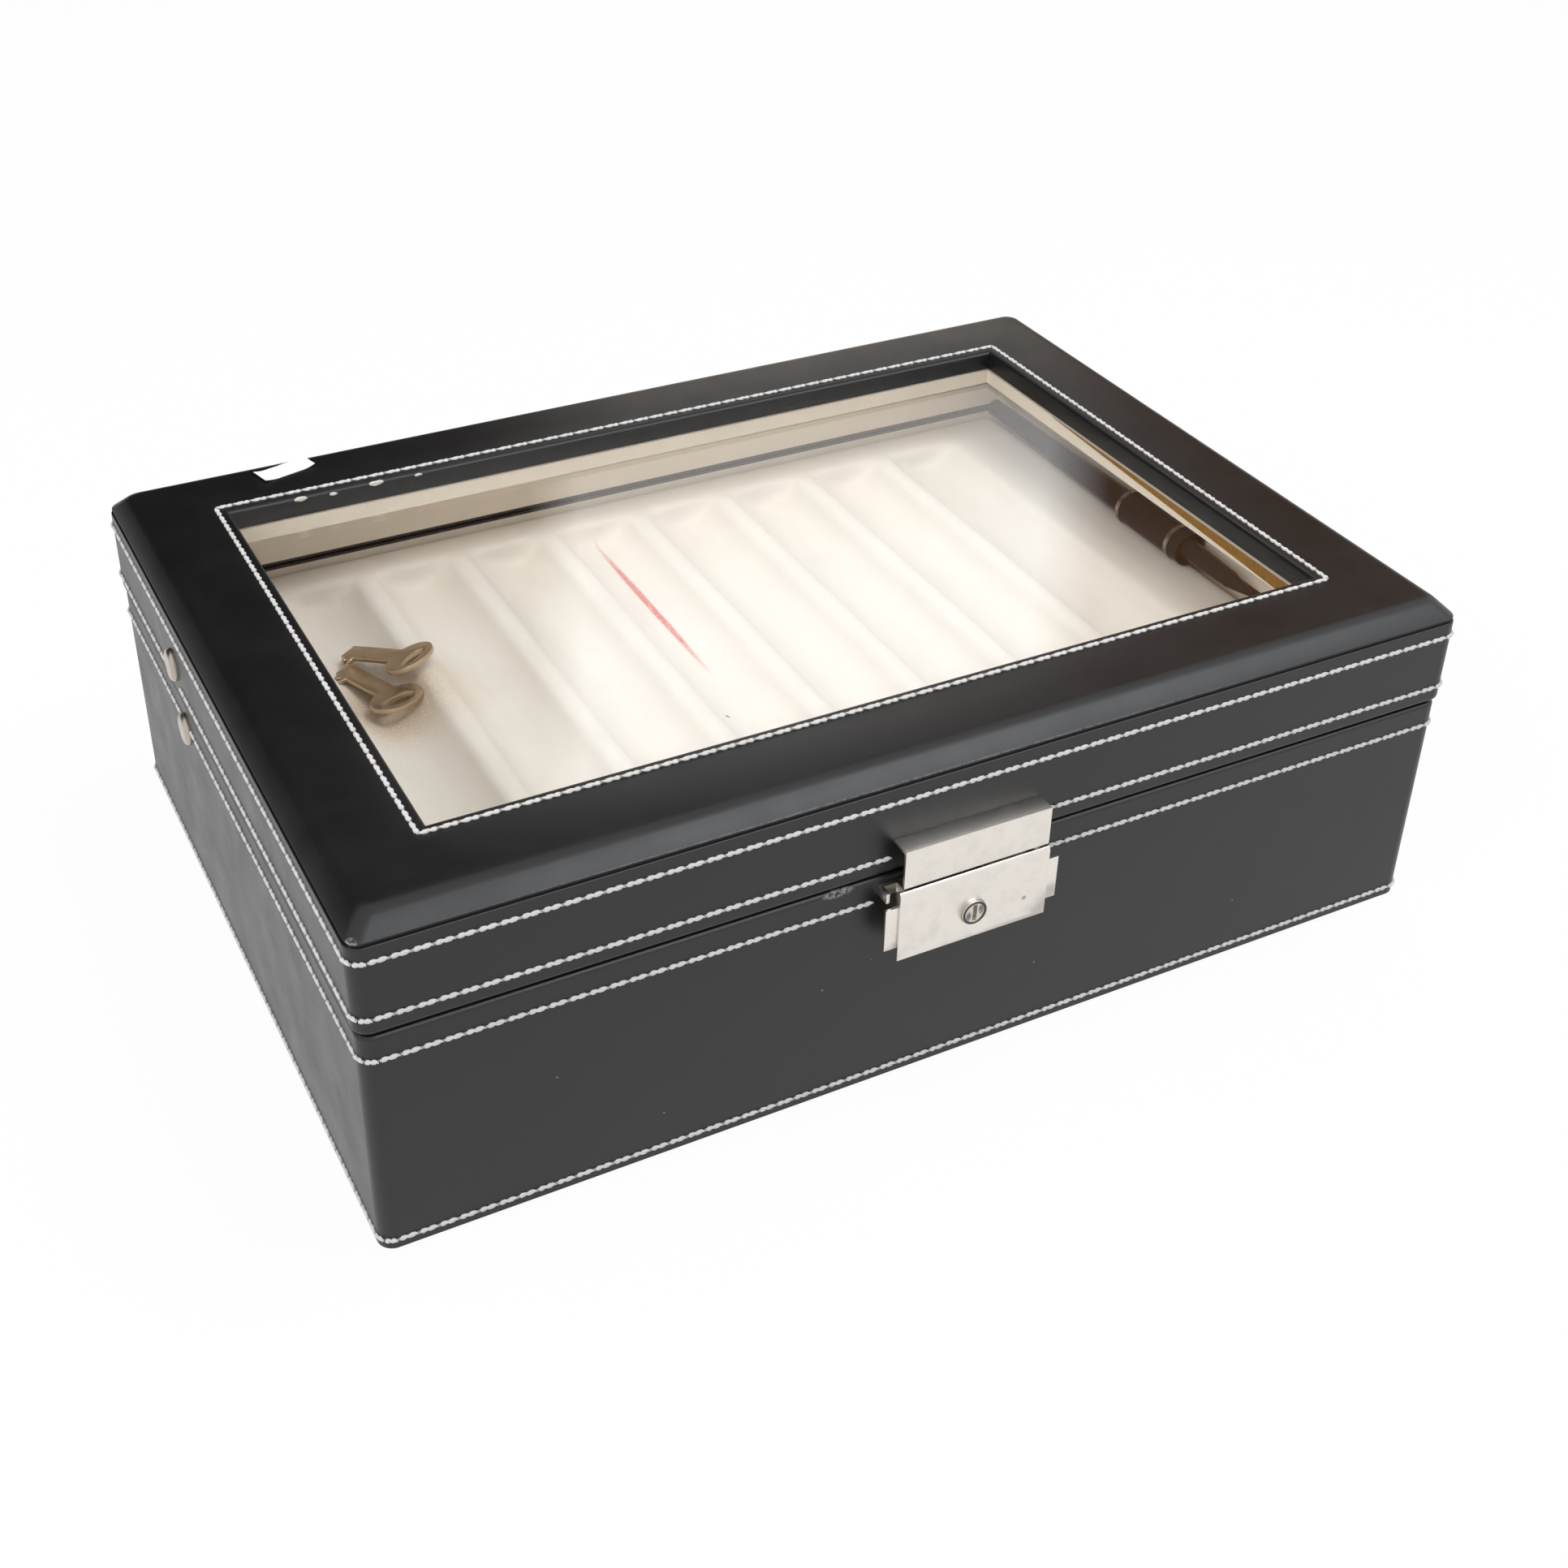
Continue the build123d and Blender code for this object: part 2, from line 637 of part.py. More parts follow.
def hinge_half(centre, leaf_y, leaf_levels, web_levels, knuckle_spans, seats):
    """Leaf of one hinge with its knuckles round the pin."""
    half = HINGE_LENGTH / 2
    leaf = block((centre - half, centre + half), (leaf_y, leaf_y + HINGE_LEAF), leaf_levels)
    for low, high in knuckle_spans:
        span = (centre + low, centre + high)
        web_y = (leaf_y, hinge_y)
        leaf = leaf + block(span, web_y, web_levels)
        knuckle = rod(HINGE_KNUCKLE_RADIUS, (centre + low, hinge_y, hinge_z), (1, 0, 0), high - low)
        leaf = leaf + knuckle
    bore = HINGE_PIN_RADIUS + RUNNING_CLEARANCE
    leaf = leaf - rod(bore, (centre - half, hinge_y, hinge_z), (1, 0, 0), HINGE_LENGTH)
    for seat in seats:
        leaf = leaf - screw_hole(*seat)
    return leaf


def hinges():
    """Two butt hinges across the seam at the back."""
    half = HINGE_LENGTH / 2
    outer_spans = [(-half, -knuckle_start), (knuckle_start, half)]
    middle_span = [(-HINGE_MIDDLE_KNUCKLE / 2, HINGE_MIDDLE_KNUCKLE / 2)]
    base_levels = (base_leaf_top - HINGE_LEAF_HEIGHT, base_leaf_top)
    lid_levels = (lid_leaf_bottom, lid_leaf_bottom + HINGE_LEAF_HEIGHT)
    base_leaves = []
    lid_leaves = []
    pins = []
    base_web = (base_leaf_top - HINGE_LEAF, hinge_z)
    lid_web = (hinge_z, lid_leaf_bottom + HINGE_LEAF)
    for centre in (-HINGE_SPACING / 2, HINGE_SPACING / 2):
        base_half = hinge_half(centre, half_depth, base_levels, base_web, outer_spans, hinge_base_seats)
        lid_half = hinge_half(centre, lid_y, lid_levels, lid_web, middle_span, hinge_lid_seats)
        base_leaves.append(base_half)
        lid_leaves.append(lid_half)
        pins.append(rod(HINGE_PIN_RADIUS, (centre - half, hinge_y, hinge_z), (1, 0, 0), HINGE_LENGTH))
    return {"hinge_base_leaves": base_leaves, "hinge_lid_leaves": lid_leaves, "hinge_pins": pins}


# Lock


def lock_case():
    """Back plate and walls of the lock, open at the top for the tongue."""
    half = LOCK_CASE_WIDTH / 2
    levels = (lock_case_bottom, lock_case_top)
    floor_levels = (lock_case_bottom, lock_case_bottom + LOCK_CASE_WALL)
    depth = (case_face_y, case_back_y)
    plate = block((LOCK_X - half, LOCK_X + half), (case_back_y, front_y), levels)
    left = block((LOCK_X - half, LOCK_X - half + LOCK_CASE_WALL), depth, levels)
    right = block((LOCK_X + half - LOCK_CASE_WALL, LOCK_X + half), depth, levels)
    floor = block((LOCK_X - half, LOCK_X + half), depth, floor_levels)
    bolt_bottom = bolt_z - BOLT_HEIGHT / 2 - BOLT_SLIDE_CLEARANCE
    guide_start = LOCK_X - half + LOCK_CASE_WALL
    guide_levels = (bolt_bottom - BOLT_GUIDE_HEIGHT, bolt_bottom)
    guide = block((guide_start, guide_start + BOLT_GUIDE_LENGTH), depth, guide_levels)
    tab_start = LOCK_X - half - TAB_REACH
    tab_levels = (lock_case_top - TAB_HEIGHT, lock_case_top)
    tab = block((tab_start, LOCK_X - half), (case_back_y, front_y), tab_levels)
    tab_end = block((tab_start, tab_start + LOCK_BACK), (front_y - TAB_DEPTH, front_y), tab_levels)
    case = plate + left + right + floor + guide + tab + tab_end
    for seat in lock_screw_seats:
        case = case - screw_hole(*seat)
    return case


def barrel_bore():
    """Hole that the key barrel turns in."""
    start = (LOCK_X, front_y - CASE_DEPTH, barrel_z)
    return rod(BARREL_RADIUS + RUNNING_CLEARANCE, start, (0, 1, 0), CASE_DEPTH - LOCK_BACK)


def lock_ear_plate():
    """Plate behind the front plate, showing as an ear on each side."""
    half = LOCK_WIDTH / 2 + EAR_REACH
    levels = (ear_top - EAR_HEIGHT, ear_top)
    plate = block((LOCK_X - half, LOCK_X + half), (ear_face_y, case_face_y), levels)
    return plate - barrel_bore()


def lock_front_plate():
    """Front plate, with its top edge rolled back."""
    half = LOCK_WIDTH / 2
    levels = (lock_top - LOCK_HEIGHT, lock_top)
    plate = block((LOCK_X - half, LOCK_X + half), (lock_face_y, ear_face_y), levels)
    top_edge = plate.edges().group_by(Axis.Z)[-1].sort_by(Axis.Y)[0]
    face = plate.faces().sort_by(Axis.Y)[0]
    plate = chamfer(top_edge, 2 * LOCK_TOP_FOLD, LOCK_TOP_FOLD, reference=face)
    return plate - barrel_bore()


def lock_barrel():
    """Key barrel with its keyway and the cam at its inner end."""
    front = lock_face_y - BARREL_PROUD
    back = case_back_y - BOLT_SLIDE_CLEARANCE
    barrel = rod(BARREL_RADIUS, (LOCK_X, front, barrel_z), (0, 1, 0), back - front)
    half_keyway = KEYWAY_LENGTH / 2
    keyway_x = (LOCK_X - KEYWAY_WIDTH / 2, LOCK_X + KEYWAY_WIDTH / 2)
    keyway_z = (barrel_z - half_keyway, barrel_z + half_keyway)
    barrel = barrel - block(keyway_x, (front, front + KEYWAY_DEPTH), keyway_z)
    cam_z = (barrel_z - CAM_WIDTH / 2, barrel_z + CAM_WIDTH / 2)
    return barrel + block((LOCK_X - CAM_REACH, LOCK_X), (back - CAM_THICKNESS, back), cam_z)


def lock_bolt():
    """Sliding bolt, drawn back beside the tongue."""
    nose = tongue_left - BOLT_NOSE_GAP
    depth = (case_face_y + BOLT_SLIDE_CLEARANCE, case_back_y - BOLT_SLIDE_CLEARANCE)
    levels = (bolt_z - BOLT_HEIGHT / 2, bolt_z + BOLT_HEIGHT / 2)
    return block((nose - BOLT_LENGTH, nose), depth, levels)


def hasp_plate():
    """Folded hasp on the lid: back plate, top flange and front plate."""
    half = HASP_WIDTH / 2
    span = (LOCK_X - half, LOCK_X + half)
    flange_bottom = hasp_top - SHEET
    flange = block(span, (lock_face_y, lid_front_y), (flange_bottom, hasp_top))
    front = block(span, (lock_face_y, ear_face_y), (hasp_top - HASP_DROP, flange_bottom))
    back_half = HASP_BACK_WIDTH / 2
    back_span = (LOCK_X - back_half, LOCK_X + back_half)
    back_levels = (hasp_top - HASP_BACK_DROP, flange_bottom)
    back = block(back_span, (lid_front_y - SHEET, lid_front_y), back_levels)
    hasp = flange + front + back
    for seat in hasp_screw_seats:
        hasp = hasp - screw_hole(*seat)
    return hasp


def hasp_tongue():
    """Tongue under the hasp, notched for the bolt."""
    top = hasp_top - SHEET
    depth = (tongue_back_y - TONGUE_THICKNESS, tongue_back_y)
    tongue = block((tongue_left, tongue_left + TONGUE_WIDTH), depth, (top - TONGUE_LENGTH, top))
    half_notch = BOLT_HEIGHT / 2 + NOTCH_CLEARANCE
    notch_levels = (bolt_z - half_notch, bolt_z + half_notch)
    return tongue - block((tongue_left, tongue_left + NOTCH_DEPTH), depth, notch_levels)


# Folding stay


def stay_elbow():
    """Elbow of the folded stay, in front of its two pivots."""
    reach_y = STAY_LID_Y - STAY_BASE_Y
    reach_z = stay_lid_z - stay_base_z
    spread = hypot(reach_y, reach_z)
    angle = atan2(reach_z, reach_y) + acos(spread / 2 / STAY_LINK_LENGTH)
    return STAY_BASE_Y + STAY_LINK_LENGTH * cos(angle), stay_base_z + STAY_LINK_LENGTH * sin(angle)


def stay_link(x_low, start, end):
    """Flat link with round ends between two pivots, in a layer beside the wall."""
    radius = STAY_LINK_WIDTH / 2
    centre_y = (start[0] + end[0]) / 2
    centre_z = (start[1] + end[1]) / 2
    angle = atan2(end[1] - start[1], end[0] - start[0])
    layer = Plane(origin=(x_low, centre_y, centre_z), x_dir=(0, cos(angle), sin(angle)), z_dir=(1, 0, 0))
    outline = SlotCenterToCenter(STAY_LINK_LENGTH, 2 * radius)
    return extrude(layer * outline, amount=STAY_LINK_THICKNESS)


def stay_rivet(head_x, y, z, link_x, collar):
    """Rivet through the left wall, with a domed head outside and a link on its inner end."""
    head = rod(STAY_HEAD_RADIUS, (head_x, y, z), (-1, 0, 0), STAY_HEAD_HEIGHT)
    head = fillet(head.edges().sort_by(Axis.X)[0], STAY_HEAD_ROUNDING)
    end_x = link_x + STAY_LINK_THICKNESS + STAY_END_CLEARANCE
    shank = rod(STAY_RIVET_RADIUS, (head_x, y, z), (1, 0, 0), end_x - head_x)
    end = rod(STAY_END_RADIUS, (end_x, y, z), (1, 0, 0), STAY_END)
    rivet = head + shank + end
    if collar:
        collar_length = link_x - STAY_END_CLEARANCE + inner_x
        rivet = rivet + rod(STAY_END_RADIUS, (-inner_x, y, z), (1, 0, 0), collar_length)
    return rivet


def stay():
    """Two links, their rivets and the stub at the elbow."""
    base = (STAY_BASE_Y, stay_base_z)
    lid = (STAY_LID_Y, stay_lid_z)
    elbow = stay_elbow()
    lower = stay_link(lower_link_x, base, elbow)
    lower = lower - rod(stay_bore_radius, (-half_width, *base), (1, 0, 0), half_width)
    upper = stay_link(upper_link_x, lid, elbow)
    upper = upper - rod(stay_bore_radius, (-half_width, *lid), (1, 0, 0), half_width)
    stub = rod(STAY_ELBOW_RADIUS, (upper_link_x, *elbow), (1, 0, 0), STAY_LINK_THICKNESS + STAY_END)
    upper = upper + stub
    return {
        "stay_lower_link": lower,
        "stay_upper_link": upper,
        "stay_base_rivet": stay_rivet(-half_width, *base, lower_link_x, False),
        "stay_lid_rivet": stay_rivet(-lid_x, *lid, upper_link_x, True),
    }


# Tray


def tray_board():
    """Stiff board under the pad of the tray."""
    return well(tray_x, tray_y, (tray_bottom, pad_bottom))


def tray_pad():
    """Suede pad with a row of pen troughs."""
    pad = well(tray_x, tray_y, (pad_bottom, tray_top))
    pad = fillet(pad.edges().group_by(Axis.Z)[-1], PAD_ROUNDING)
    length = 2 * trough_half_length
    for index in range(TROUGH_COUNT):
        start = (first_trough_x + index * TROUGH_PITCH, -trough_half_length, trough_axis_z)
        pad = pad - rod(trough_radius, start, (0, 1, 0), length)
    along = level_edges(pad, tray_top).filter_by(Axis.Y)
    rims = [edge for edge in along if abs(edge.length - length) < EDGE_TOLERANCE]
    return fillet(rims, TROUGH_EDGE_ROUNDING)


# Loose contents


def pen():
    """Pen lying along the right border of the tray."""
    level = tray_top + PEN_RING_RADIUS + PEN_REST_CLEARANCE

    def turned(points):
        profile = Plane.XY * make_face(Polyline(*points, close=True))
        return Pos(pen_x, 0, level) * revolve(profile, Axis.Y)

    barrel = turned([
        (0, sleeve_back_y), (PEN_BARREL_RADIUS, sleeve_back_y),
        (PEN_TAIL_RADIUS, pen_tail_y - PEN_TAIL_ROUNDING),
        (PEN_TAIL_RADIUS - PEN_TAIL_ROUNDING, pen_tail_y), (0, pen_tail_y),
    ])
    bore_end = sleeve_front_y + PEN_SLEEVE_BORE_DEPTH
    sleeve_bore = PEN_SLEEVE_RADIUS - PEN_SLEEVE_WALL
    sleeve = turned([
        (0, bore_end), (sleeve_bore, bore_end), (sleeve_bore, sleeve_front_y),
        (PEN_SLEEVE_RADIUS, sleeve_front_y), (PEN_SLEEVE_RADIUS, sleeve_back_y), (0, sleeve_back_y),
    ])
    ring_ys = (sleeve_front_y + PEN_RING_INSET, sleeve_back_y - PEN_RING_WIDTH)
    rings = []
    for ring_y in ring_ys:
        rings.append(turned([
            (PEN_SLEEVE_RADIUS, ring_y), (PEN_RING_RADIUS, ring_y),
            (PEN_RING_RADIUS, ring_y + PEN_RING_WIDTH), (PEN_SLEEVE_RADIUS, ring_y + PEN_RING_WIDTH),
        ]))
    nib_y = pen_point_y + PEN_NIB_LENGTH
    grip = turned([
        (0, bore_end), (PEN_GRIP_RADIUS, bore_end), (PEN_GRIP_END_RADIUS, nib_y),
        (PEN_NIB_TIP_RADIUS, pen_point_y), (0, pen_point_y),
    ])
    return {"pen_barrel": barrel, "pen_sleeve": sleeve, "pen_rings": rings, "pen_grip": grip}


def flat_key():
    """Small flat key lying on XY, bow at the origin, blade along X."""
    bow = Ellipse(KEY_BOW_LENGTH / 2, KEY_BOW_WIDTH / 2)
    blade_length = KEY_LENGTH - KEY_BOW_LENGTH / 2
    blade = Pos(blade_length / 2, 0) * Rectangle(blade_length, KEY_BLADE_WIDTH)
    bit_centre = blade_length - KEY_BIT_GAP - KEY_BIT_LENGTH / 2
    bit_depth = (KEY_BIT_WIDTH + KEY_BLADE_WIDTH) / 2
    bit_shift = (KEY_BIT_WIDTH - bit_depth) / 2
    bit = Pos(bit_centre, bit_shift) * Rectangle(KEY_BIT_LENGTH, bit_depth)
    notch = Pos(bit_centre, KEY_BLADE_WIDTH / 2 + KEY_NOTCH) * Rectangle(KEY_NOTCH, KEY_NOTCH)
    hole = Pos(-KEY_HOLE_SHIFT, 0) * Ellipse(KEY_HOLE_LENGTH / 2, KEY_HOLE_WIDTH / 2)
    outline = bow + blade + bit - hole - notch
    return Pos(0, 0, -KEY_THICKNESS / 2) * extrude(outline, amount=KEY_THICKNESS)


def laid_key(bow, yaw, pitch, roll):
    """Key moved to its place in the trough, blade pointing down by the pitch."""
    turn = Rot(0, 0, yaw) * Rot(0, pitch, 0) * Rot(roll, 0, 0)
    return Pos(*bow) * turn * flat_key()


def blank_label():
    """Plain paper label near the back edge of the lid."""
    sheet = extrude(Rectangle(LABEL_LENGTH, LABEL_WIDTH), amount=LABEL_THICKNESS)
    place = Pos(LABEL_SIDE_DISTANCE - lid_x, lid_y - LABEL_EDGE_DISTANCE, lid_top)
    return place * Rot(0, 0, LABEL_ANGLE) * sheet


def save(node, shape):
    """Write one piece, or one set of like pieces, to its own file."""
    solids = shape if isinstance(shape, list) else [shape]
    flat = [solid for part in solids for solid in part.solids()]
    whole = flat[0] if len(flat) == 1 else Compound(children=flat)
    whole.label = node
    export_step(whole, f"parts/{node}.step")


os.makedirs("parts", exist_ok=True)

pieces = {
    "base_bottom_board": base_bottom_board(),
    "base_leather_cover": base_leather_cover(),
    "base_wall_lining": base_wall_lining(),
    "base_floor_pad": base_floor_pad(),
    "underside_felt": underside_felt(),
    "tray_ledges": tray_ledges(),
    "lid_top_leather": lid_top_leather(),
    "lid_side_leather": lid_side_leather(),
    "lid_wall_lining": lid_wall_lining(),
    "lid_ceiling_lining": lid_ceiling_lining(),
    "window_glass": window_glass(),
    "window_stitching": window_stitching(),
    "lock_case": lock_case(),
    "lock_ear_plate": lock_ear_plate(),
    "lock_front_plate": lock_front_plate(),
    "lock_barrel": lock_barrel(),
    "lock_bolt": lock_bolt(),
    "lock_screws": [screw(*seat) for seat in lock_screw_seats],
    "hasp_plate": hasp_plate(),
    "hasp_tongue": hasp_tongue(),
    "hasp_screws": [screw(*seat) for seat in hasp_screw_seats],
    "hinge_base_screws": [screw(*seat) for seat in hinge_base_seats],
    "hinge_lid_screws": [screw(*seat) for seat in hinge_lid_seats],
    "tray_board": tray_board(),
    "tray_pad": tray_pad(),
    "key_one": laid_key(first_key_bow, FIRST_KEY_YAW, FIRST_KEY_PITCH, FIRST_KEY_ROLL),
    "key_two": laid_key(second_key_bow, SECOND_KEY_YAW, SECOND_KEY_PITCH, SECOND_KEY_ROLL),
    "blank_label": blank_label(),
}
groups = (base_boards, lid_boards, glazing_rails, bevelled_rails, side_stitching, hinges, stay, pen)
for group in groups:
    pieces.update(group())

for node, shape in pieces.items():
    save(node, shape)
print(len(pieces), "nodes")
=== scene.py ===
"""Pen display case: leather, thread, suede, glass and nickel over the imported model."""

import math

import bmesh
import bpy
from bpy.props import FloatProperty, FloatVectorProperty, PointerProperty
from mathutils import Matrix, Vector, noise


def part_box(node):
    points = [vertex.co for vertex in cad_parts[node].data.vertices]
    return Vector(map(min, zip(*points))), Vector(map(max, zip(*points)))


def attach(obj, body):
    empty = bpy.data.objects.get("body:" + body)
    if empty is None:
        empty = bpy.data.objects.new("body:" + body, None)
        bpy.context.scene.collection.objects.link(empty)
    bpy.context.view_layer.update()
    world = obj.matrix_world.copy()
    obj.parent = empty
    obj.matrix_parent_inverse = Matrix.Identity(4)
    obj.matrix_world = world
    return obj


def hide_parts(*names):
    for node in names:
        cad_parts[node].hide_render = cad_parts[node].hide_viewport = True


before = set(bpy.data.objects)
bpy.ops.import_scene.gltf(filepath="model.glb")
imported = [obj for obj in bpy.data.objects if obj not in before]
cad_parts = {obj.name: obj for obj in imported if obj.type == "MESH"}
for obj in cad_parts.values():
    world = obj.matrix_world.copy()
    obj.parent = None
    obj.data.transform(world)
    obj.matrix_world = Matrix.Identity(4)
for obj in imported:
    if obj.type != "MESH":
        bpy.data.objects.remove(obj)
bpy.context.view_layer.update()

bl_info = {
    "name": "Pen display case",
    "version": (1, 0, 0),
    "blender": (4, 5, 0),
    "location": "3D View > Sidebar > Pen Case",
    "description": "Dresses a leather covered pen display case and sets its stage",
    "category": "Object",
}

MM = 0.001
HALF_WIDTH = 150.0 * MM
HALF_DEPTH = 106.0 * MM
LID_OVERHANG = 0.5 * MM
CORNER_RADIUS = 4.0 * MM
LOCK_X = 0.7 * MM
THREAD_CLEARANCE = 0.3 * MM
HINGE_HALF = 15.0 * MM
HINGE_X = 95.0 * MM
RIVET_HEAD = 4.5 * MM
LID_RIVET_Y = 42 * MM
BASE_RIVET_Y = 39.5 * MM
HASP_GAP = 20.55 * MM
LOCK_GAP = 24.6 * MM
WINDOW_X = 123.0 * MM
WINDOW_Y = 79.0 * MM
WINDOW_LIP_Y = 79.05 * MM
LID_BEVEL = 5.0 * MM
COVER_THICKNESS = 0.7 * MM
COVER_TUCK = 0.85 * MM
NEAR = 0.01 * MM
SAME_PLACE = 0.001 * MM
CORNER_STITCH_HALF = 1.4
CORNER_STITCH_SHARE = 0.62
STITCH_TWIST = math.radians(400)
STITCH_WAIST = 0.56
STITCH_END = 0.74
STITCH_FLATNESS = 0.8


# Settings


def colour(name, description, default):
    """Colour property with the three usual channels."""
    limits = {"subtype": "COLOR", "min": 0, "max": 1}
    return FloatVectorProperty(name=name, description=description, default=default, **limits)


def length(name, description, default):
    """Length property."""
    return FloatProperty(name=name, description=description, default=default, unit="LENGTH")


def power(name, description, default):
    """Power property of a lamp."""
    return FloatProperty(name=name, description=description, default=default, subtype="POWER")


class CaseSizes(bpy.types.PropertyGroup):
    """Sizes of the thread and the soft pieces."""

    stitch_pitch: length("Stitch pitch", "Distance from one stitch to the next", 4.85 * MM)
    stitch_length: length("Stitch length", "Length of one stitch", 4.75 * MM)
    thread_radius: length("Thread radius", "Radius of the twisted thread", 0.66 * MM)
    thread_proud: length("Thread height", "How far the thread stands off the leather", 0.12 * MM)
    pad_grain: length("Pad softness", "Size below which the pad's edges are rounded off", 1.5 * MM)
    pad_unevenness: length("Pad unevenness", "Depth of the shallow dents in the pad", 0.25 * MM)
    metal_edge: length("Metal edge", "Rounding on the edges of the lock and hinges", 0.18 * MM)


class CaseColours(bpy.types.PropertyGroup):
    """Colours of the finishes."""

    leather: colour("Leather", "Black leather", (0.0058, 0.0056, 0.0058))
    worn_leather: colour("Worn leather", "Leather where its surface has rubbed off", (0.34, 0.33, 0.32))
    thread: colour("Thread", "White twisted thread", (0.64, 0.635, 0.62))
    lining: colour("Lining", "Suede on the inner walls", (0.82, 0.735, 0.62))
    pad: colour("Pad", "Suede of the tray", (0.76, 0.71, 0.64))
    nickel: colour("Nickel", "Satin nickel of the lock", (0.80, 0.755, 0.69))
    raw_wood: colour("Raw wood", "Uncovered wood beside the window", (0.27, 0.13, 0.014))


class CaseStage(bpy.types.PropertyGroup):
    """Levels of the light."""

    sky: FloatProperty(name="Sky", description="Level of the light from all around", default=0.72, min=0)
    key_power: power("Key lamp", "Power of the large soft lamp on the left", 7.0)
    top_power: power("Top lamp", "Power of the soft lamp over the window", 4.2)


def sizes():
    return bpy.context.scene.pen_case_sizes


def colours():
    return bpy.context.scene.pen_case_colours


# Modelling steps that several pieces share


def activate(piece):
    """Select one object alone."""
    bpy.ops.object.select_all(action="DESELECT")
    piece.select_set(True)
    bpy.context.view_layer.objects.active = piece


def added(name):
    """Name the active object, which was just made."""
    piece = bpy.context.active_object
    piece.name = name
    piece.data.name = name
    return piece


def primitive(kind, name, **values):
    """Add and name one primitive, with nothing else selected."""
    bpy.ops.object.select_all(action="DESELECT")
    getattr(bpy.ops.mesh, f"primitive_{kind}_add")(**values)
    return added(name)


def select_where(piece, kind, test):
    """Select the faces or edges of a piece in edit mode whose middle and direction pass a test."""
    mesh = bmesh.from_edit_mesh(piece.data)
    for element in (*mesh.verts, *mesh.edges, *mesh.faces):
        element.select = False
    if kind == "FACE":
        for face in mesh.faces:
            face.select_set(test(face.calc_center_median(), face.normal))
    else:
        for edge in mesh.edges:
            ends = edge.verts[0].co, edge.verts[1].co
            edge.select_set(test((ends[0] + ends[1]) / 2, (ends[1] - ends[0]).normalized()))
    bmesh.update_edit_mesh(piece.data)


def apply_modifier(piece, kind, **values):
    """Add one modifier with its values and apply it."""
    activate(piece)
    modifier = piece.modifiers.new(kind.title(), kind)
    for key, value in values.items():
        setattr(modifier, key, value)
    bpy.ops.object.modifier_apply(modifier=modifier.name)


def apply_place(piece):
    """Move an object's place, turn and scale into its mesh."""
    activate(piece)
    bpy.ops.object.transform_apply(location=True, rotation=True, scale=True)


def merged_copy(node, name):
    """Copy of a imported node's mesh as one closed surface with whole faces."""
    piece = bpy.data.objects.new(name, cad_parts[node].data.copy())
    piece.data.name = name
    piece.data.materials.clear()
    bpy.context.scene.collection.objects.link(piece)
    activate(piece)
    bpy.ops.mesh.customdata_custom_splitnormals_clear()
    bpy.ops.object.mode_set(mode="EDIT")
    bpy.ops.mesh.select_all(action="SELECT")
    bpy.ops.mesh.remove_doubles(threshold=SAME_PLACE)
    bpy.ops.mesh.dissolve_limited(angle_limit=math.radians(0.5))
    bpy.ops.object.mode_set(mode="OBJECT")
    return piece


def softened_copy(node, name, width):
    """Merged copy of a node with a small rounding on its edges."""
    piece = merged_copy(node, name)
    sharp = {"limit_method": "ANGLE", "angle_limit": math.radians(35)}
    apply_modifier(piece, "BEVEL", width=width, segments=2, **sharp)
    bpy.ops.object.shade_smooth_by_angle(angle=math.radians(40))
    return piece


def finish_piece(piece, body, material, replaced=()):
    """Give a finished piece its material, its body and the nodes that it stands for."""
    piece.data.materials.clear()
    piece.data.materials.append(material)
    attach(piece, body)
    if replaced:
        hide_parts(*replaced)


# Node trees


def add_node(tree, kind, **values):
    """Node with its settings."""
    node = tree.nodes.new(kind)
    for key, value in values.items():
        setattr(node, key, value)
    return node


def feed(tree, socket, value):
    """Link a socket to an input, or set the input to a number or a colour."""
    if isinstance(value, bpy.types.NodeSocket):
        tree.links.new(value, socket)
    else:
        socket.default_value = value


def maths(tree, operation, first, second=0.0):
    """Result of one calculation."""
    node = add_node(tree, "ShaderNodeMath", operation=operation)
    feed(tree, node.inputs[0], first)
    feed(tree, node.inputs[1], second)
    return node.outputs[0]


def spread(tree, value, low, high, out_low=0.0, out_high=1.0):
    """Value between low and high, spread over a new range and held at its ends."""
    node = add_node(tree, "ShaderNodeMapRange", clamp=True)
    for socket, number in zip(node.inputs, (value, low, high, out_low, out_high)):
        feed(tree, socket, number)
    return node.outputs[0]


def blended(tree, factor, first, second):
    """Two colours blended by a factor."""
    node = add_node(tree, "ShaderNodeMix", data_type="RGBA")
    feed(tree, node.inputs[0], factor)
    feed(tree, node.inputs[6], first)
    feed(tree, node.inputs[7], second)
    return node.outputs[2]


def axes(tree, vector):
    """The X, Y and Z parts of a vector."""
    node = add_node(tree, "ShaderNodeSeparateXYZ")
    feed(tree, node.inputs[0], vector)
    return node.outputs


def seen_or_reflected(tree):
    """One for rays from the camera, a reflection or glass, and zero for all others."""
    rays = add_node(tree, "ShaderNodeLightPath").outputs
    bent = maths(tree, "MAXIMUM", rays["Is Glossy Ray"], rays["Is Transmission Ray"])
    return maths(tree, "MAXIMUM", rays["Is Camera Ray"], bent)


def stretched(tree, vector, scale):
    """Coordinates stretched by a scale along each axis."""
    node = add_node(tree, "ShaderNodeVectorMath", operation="MULTIPLY")
    feed(tree, node.inputs[0], vector)
    node.inputs[1].default_value = scale
    return node.outputs[0]


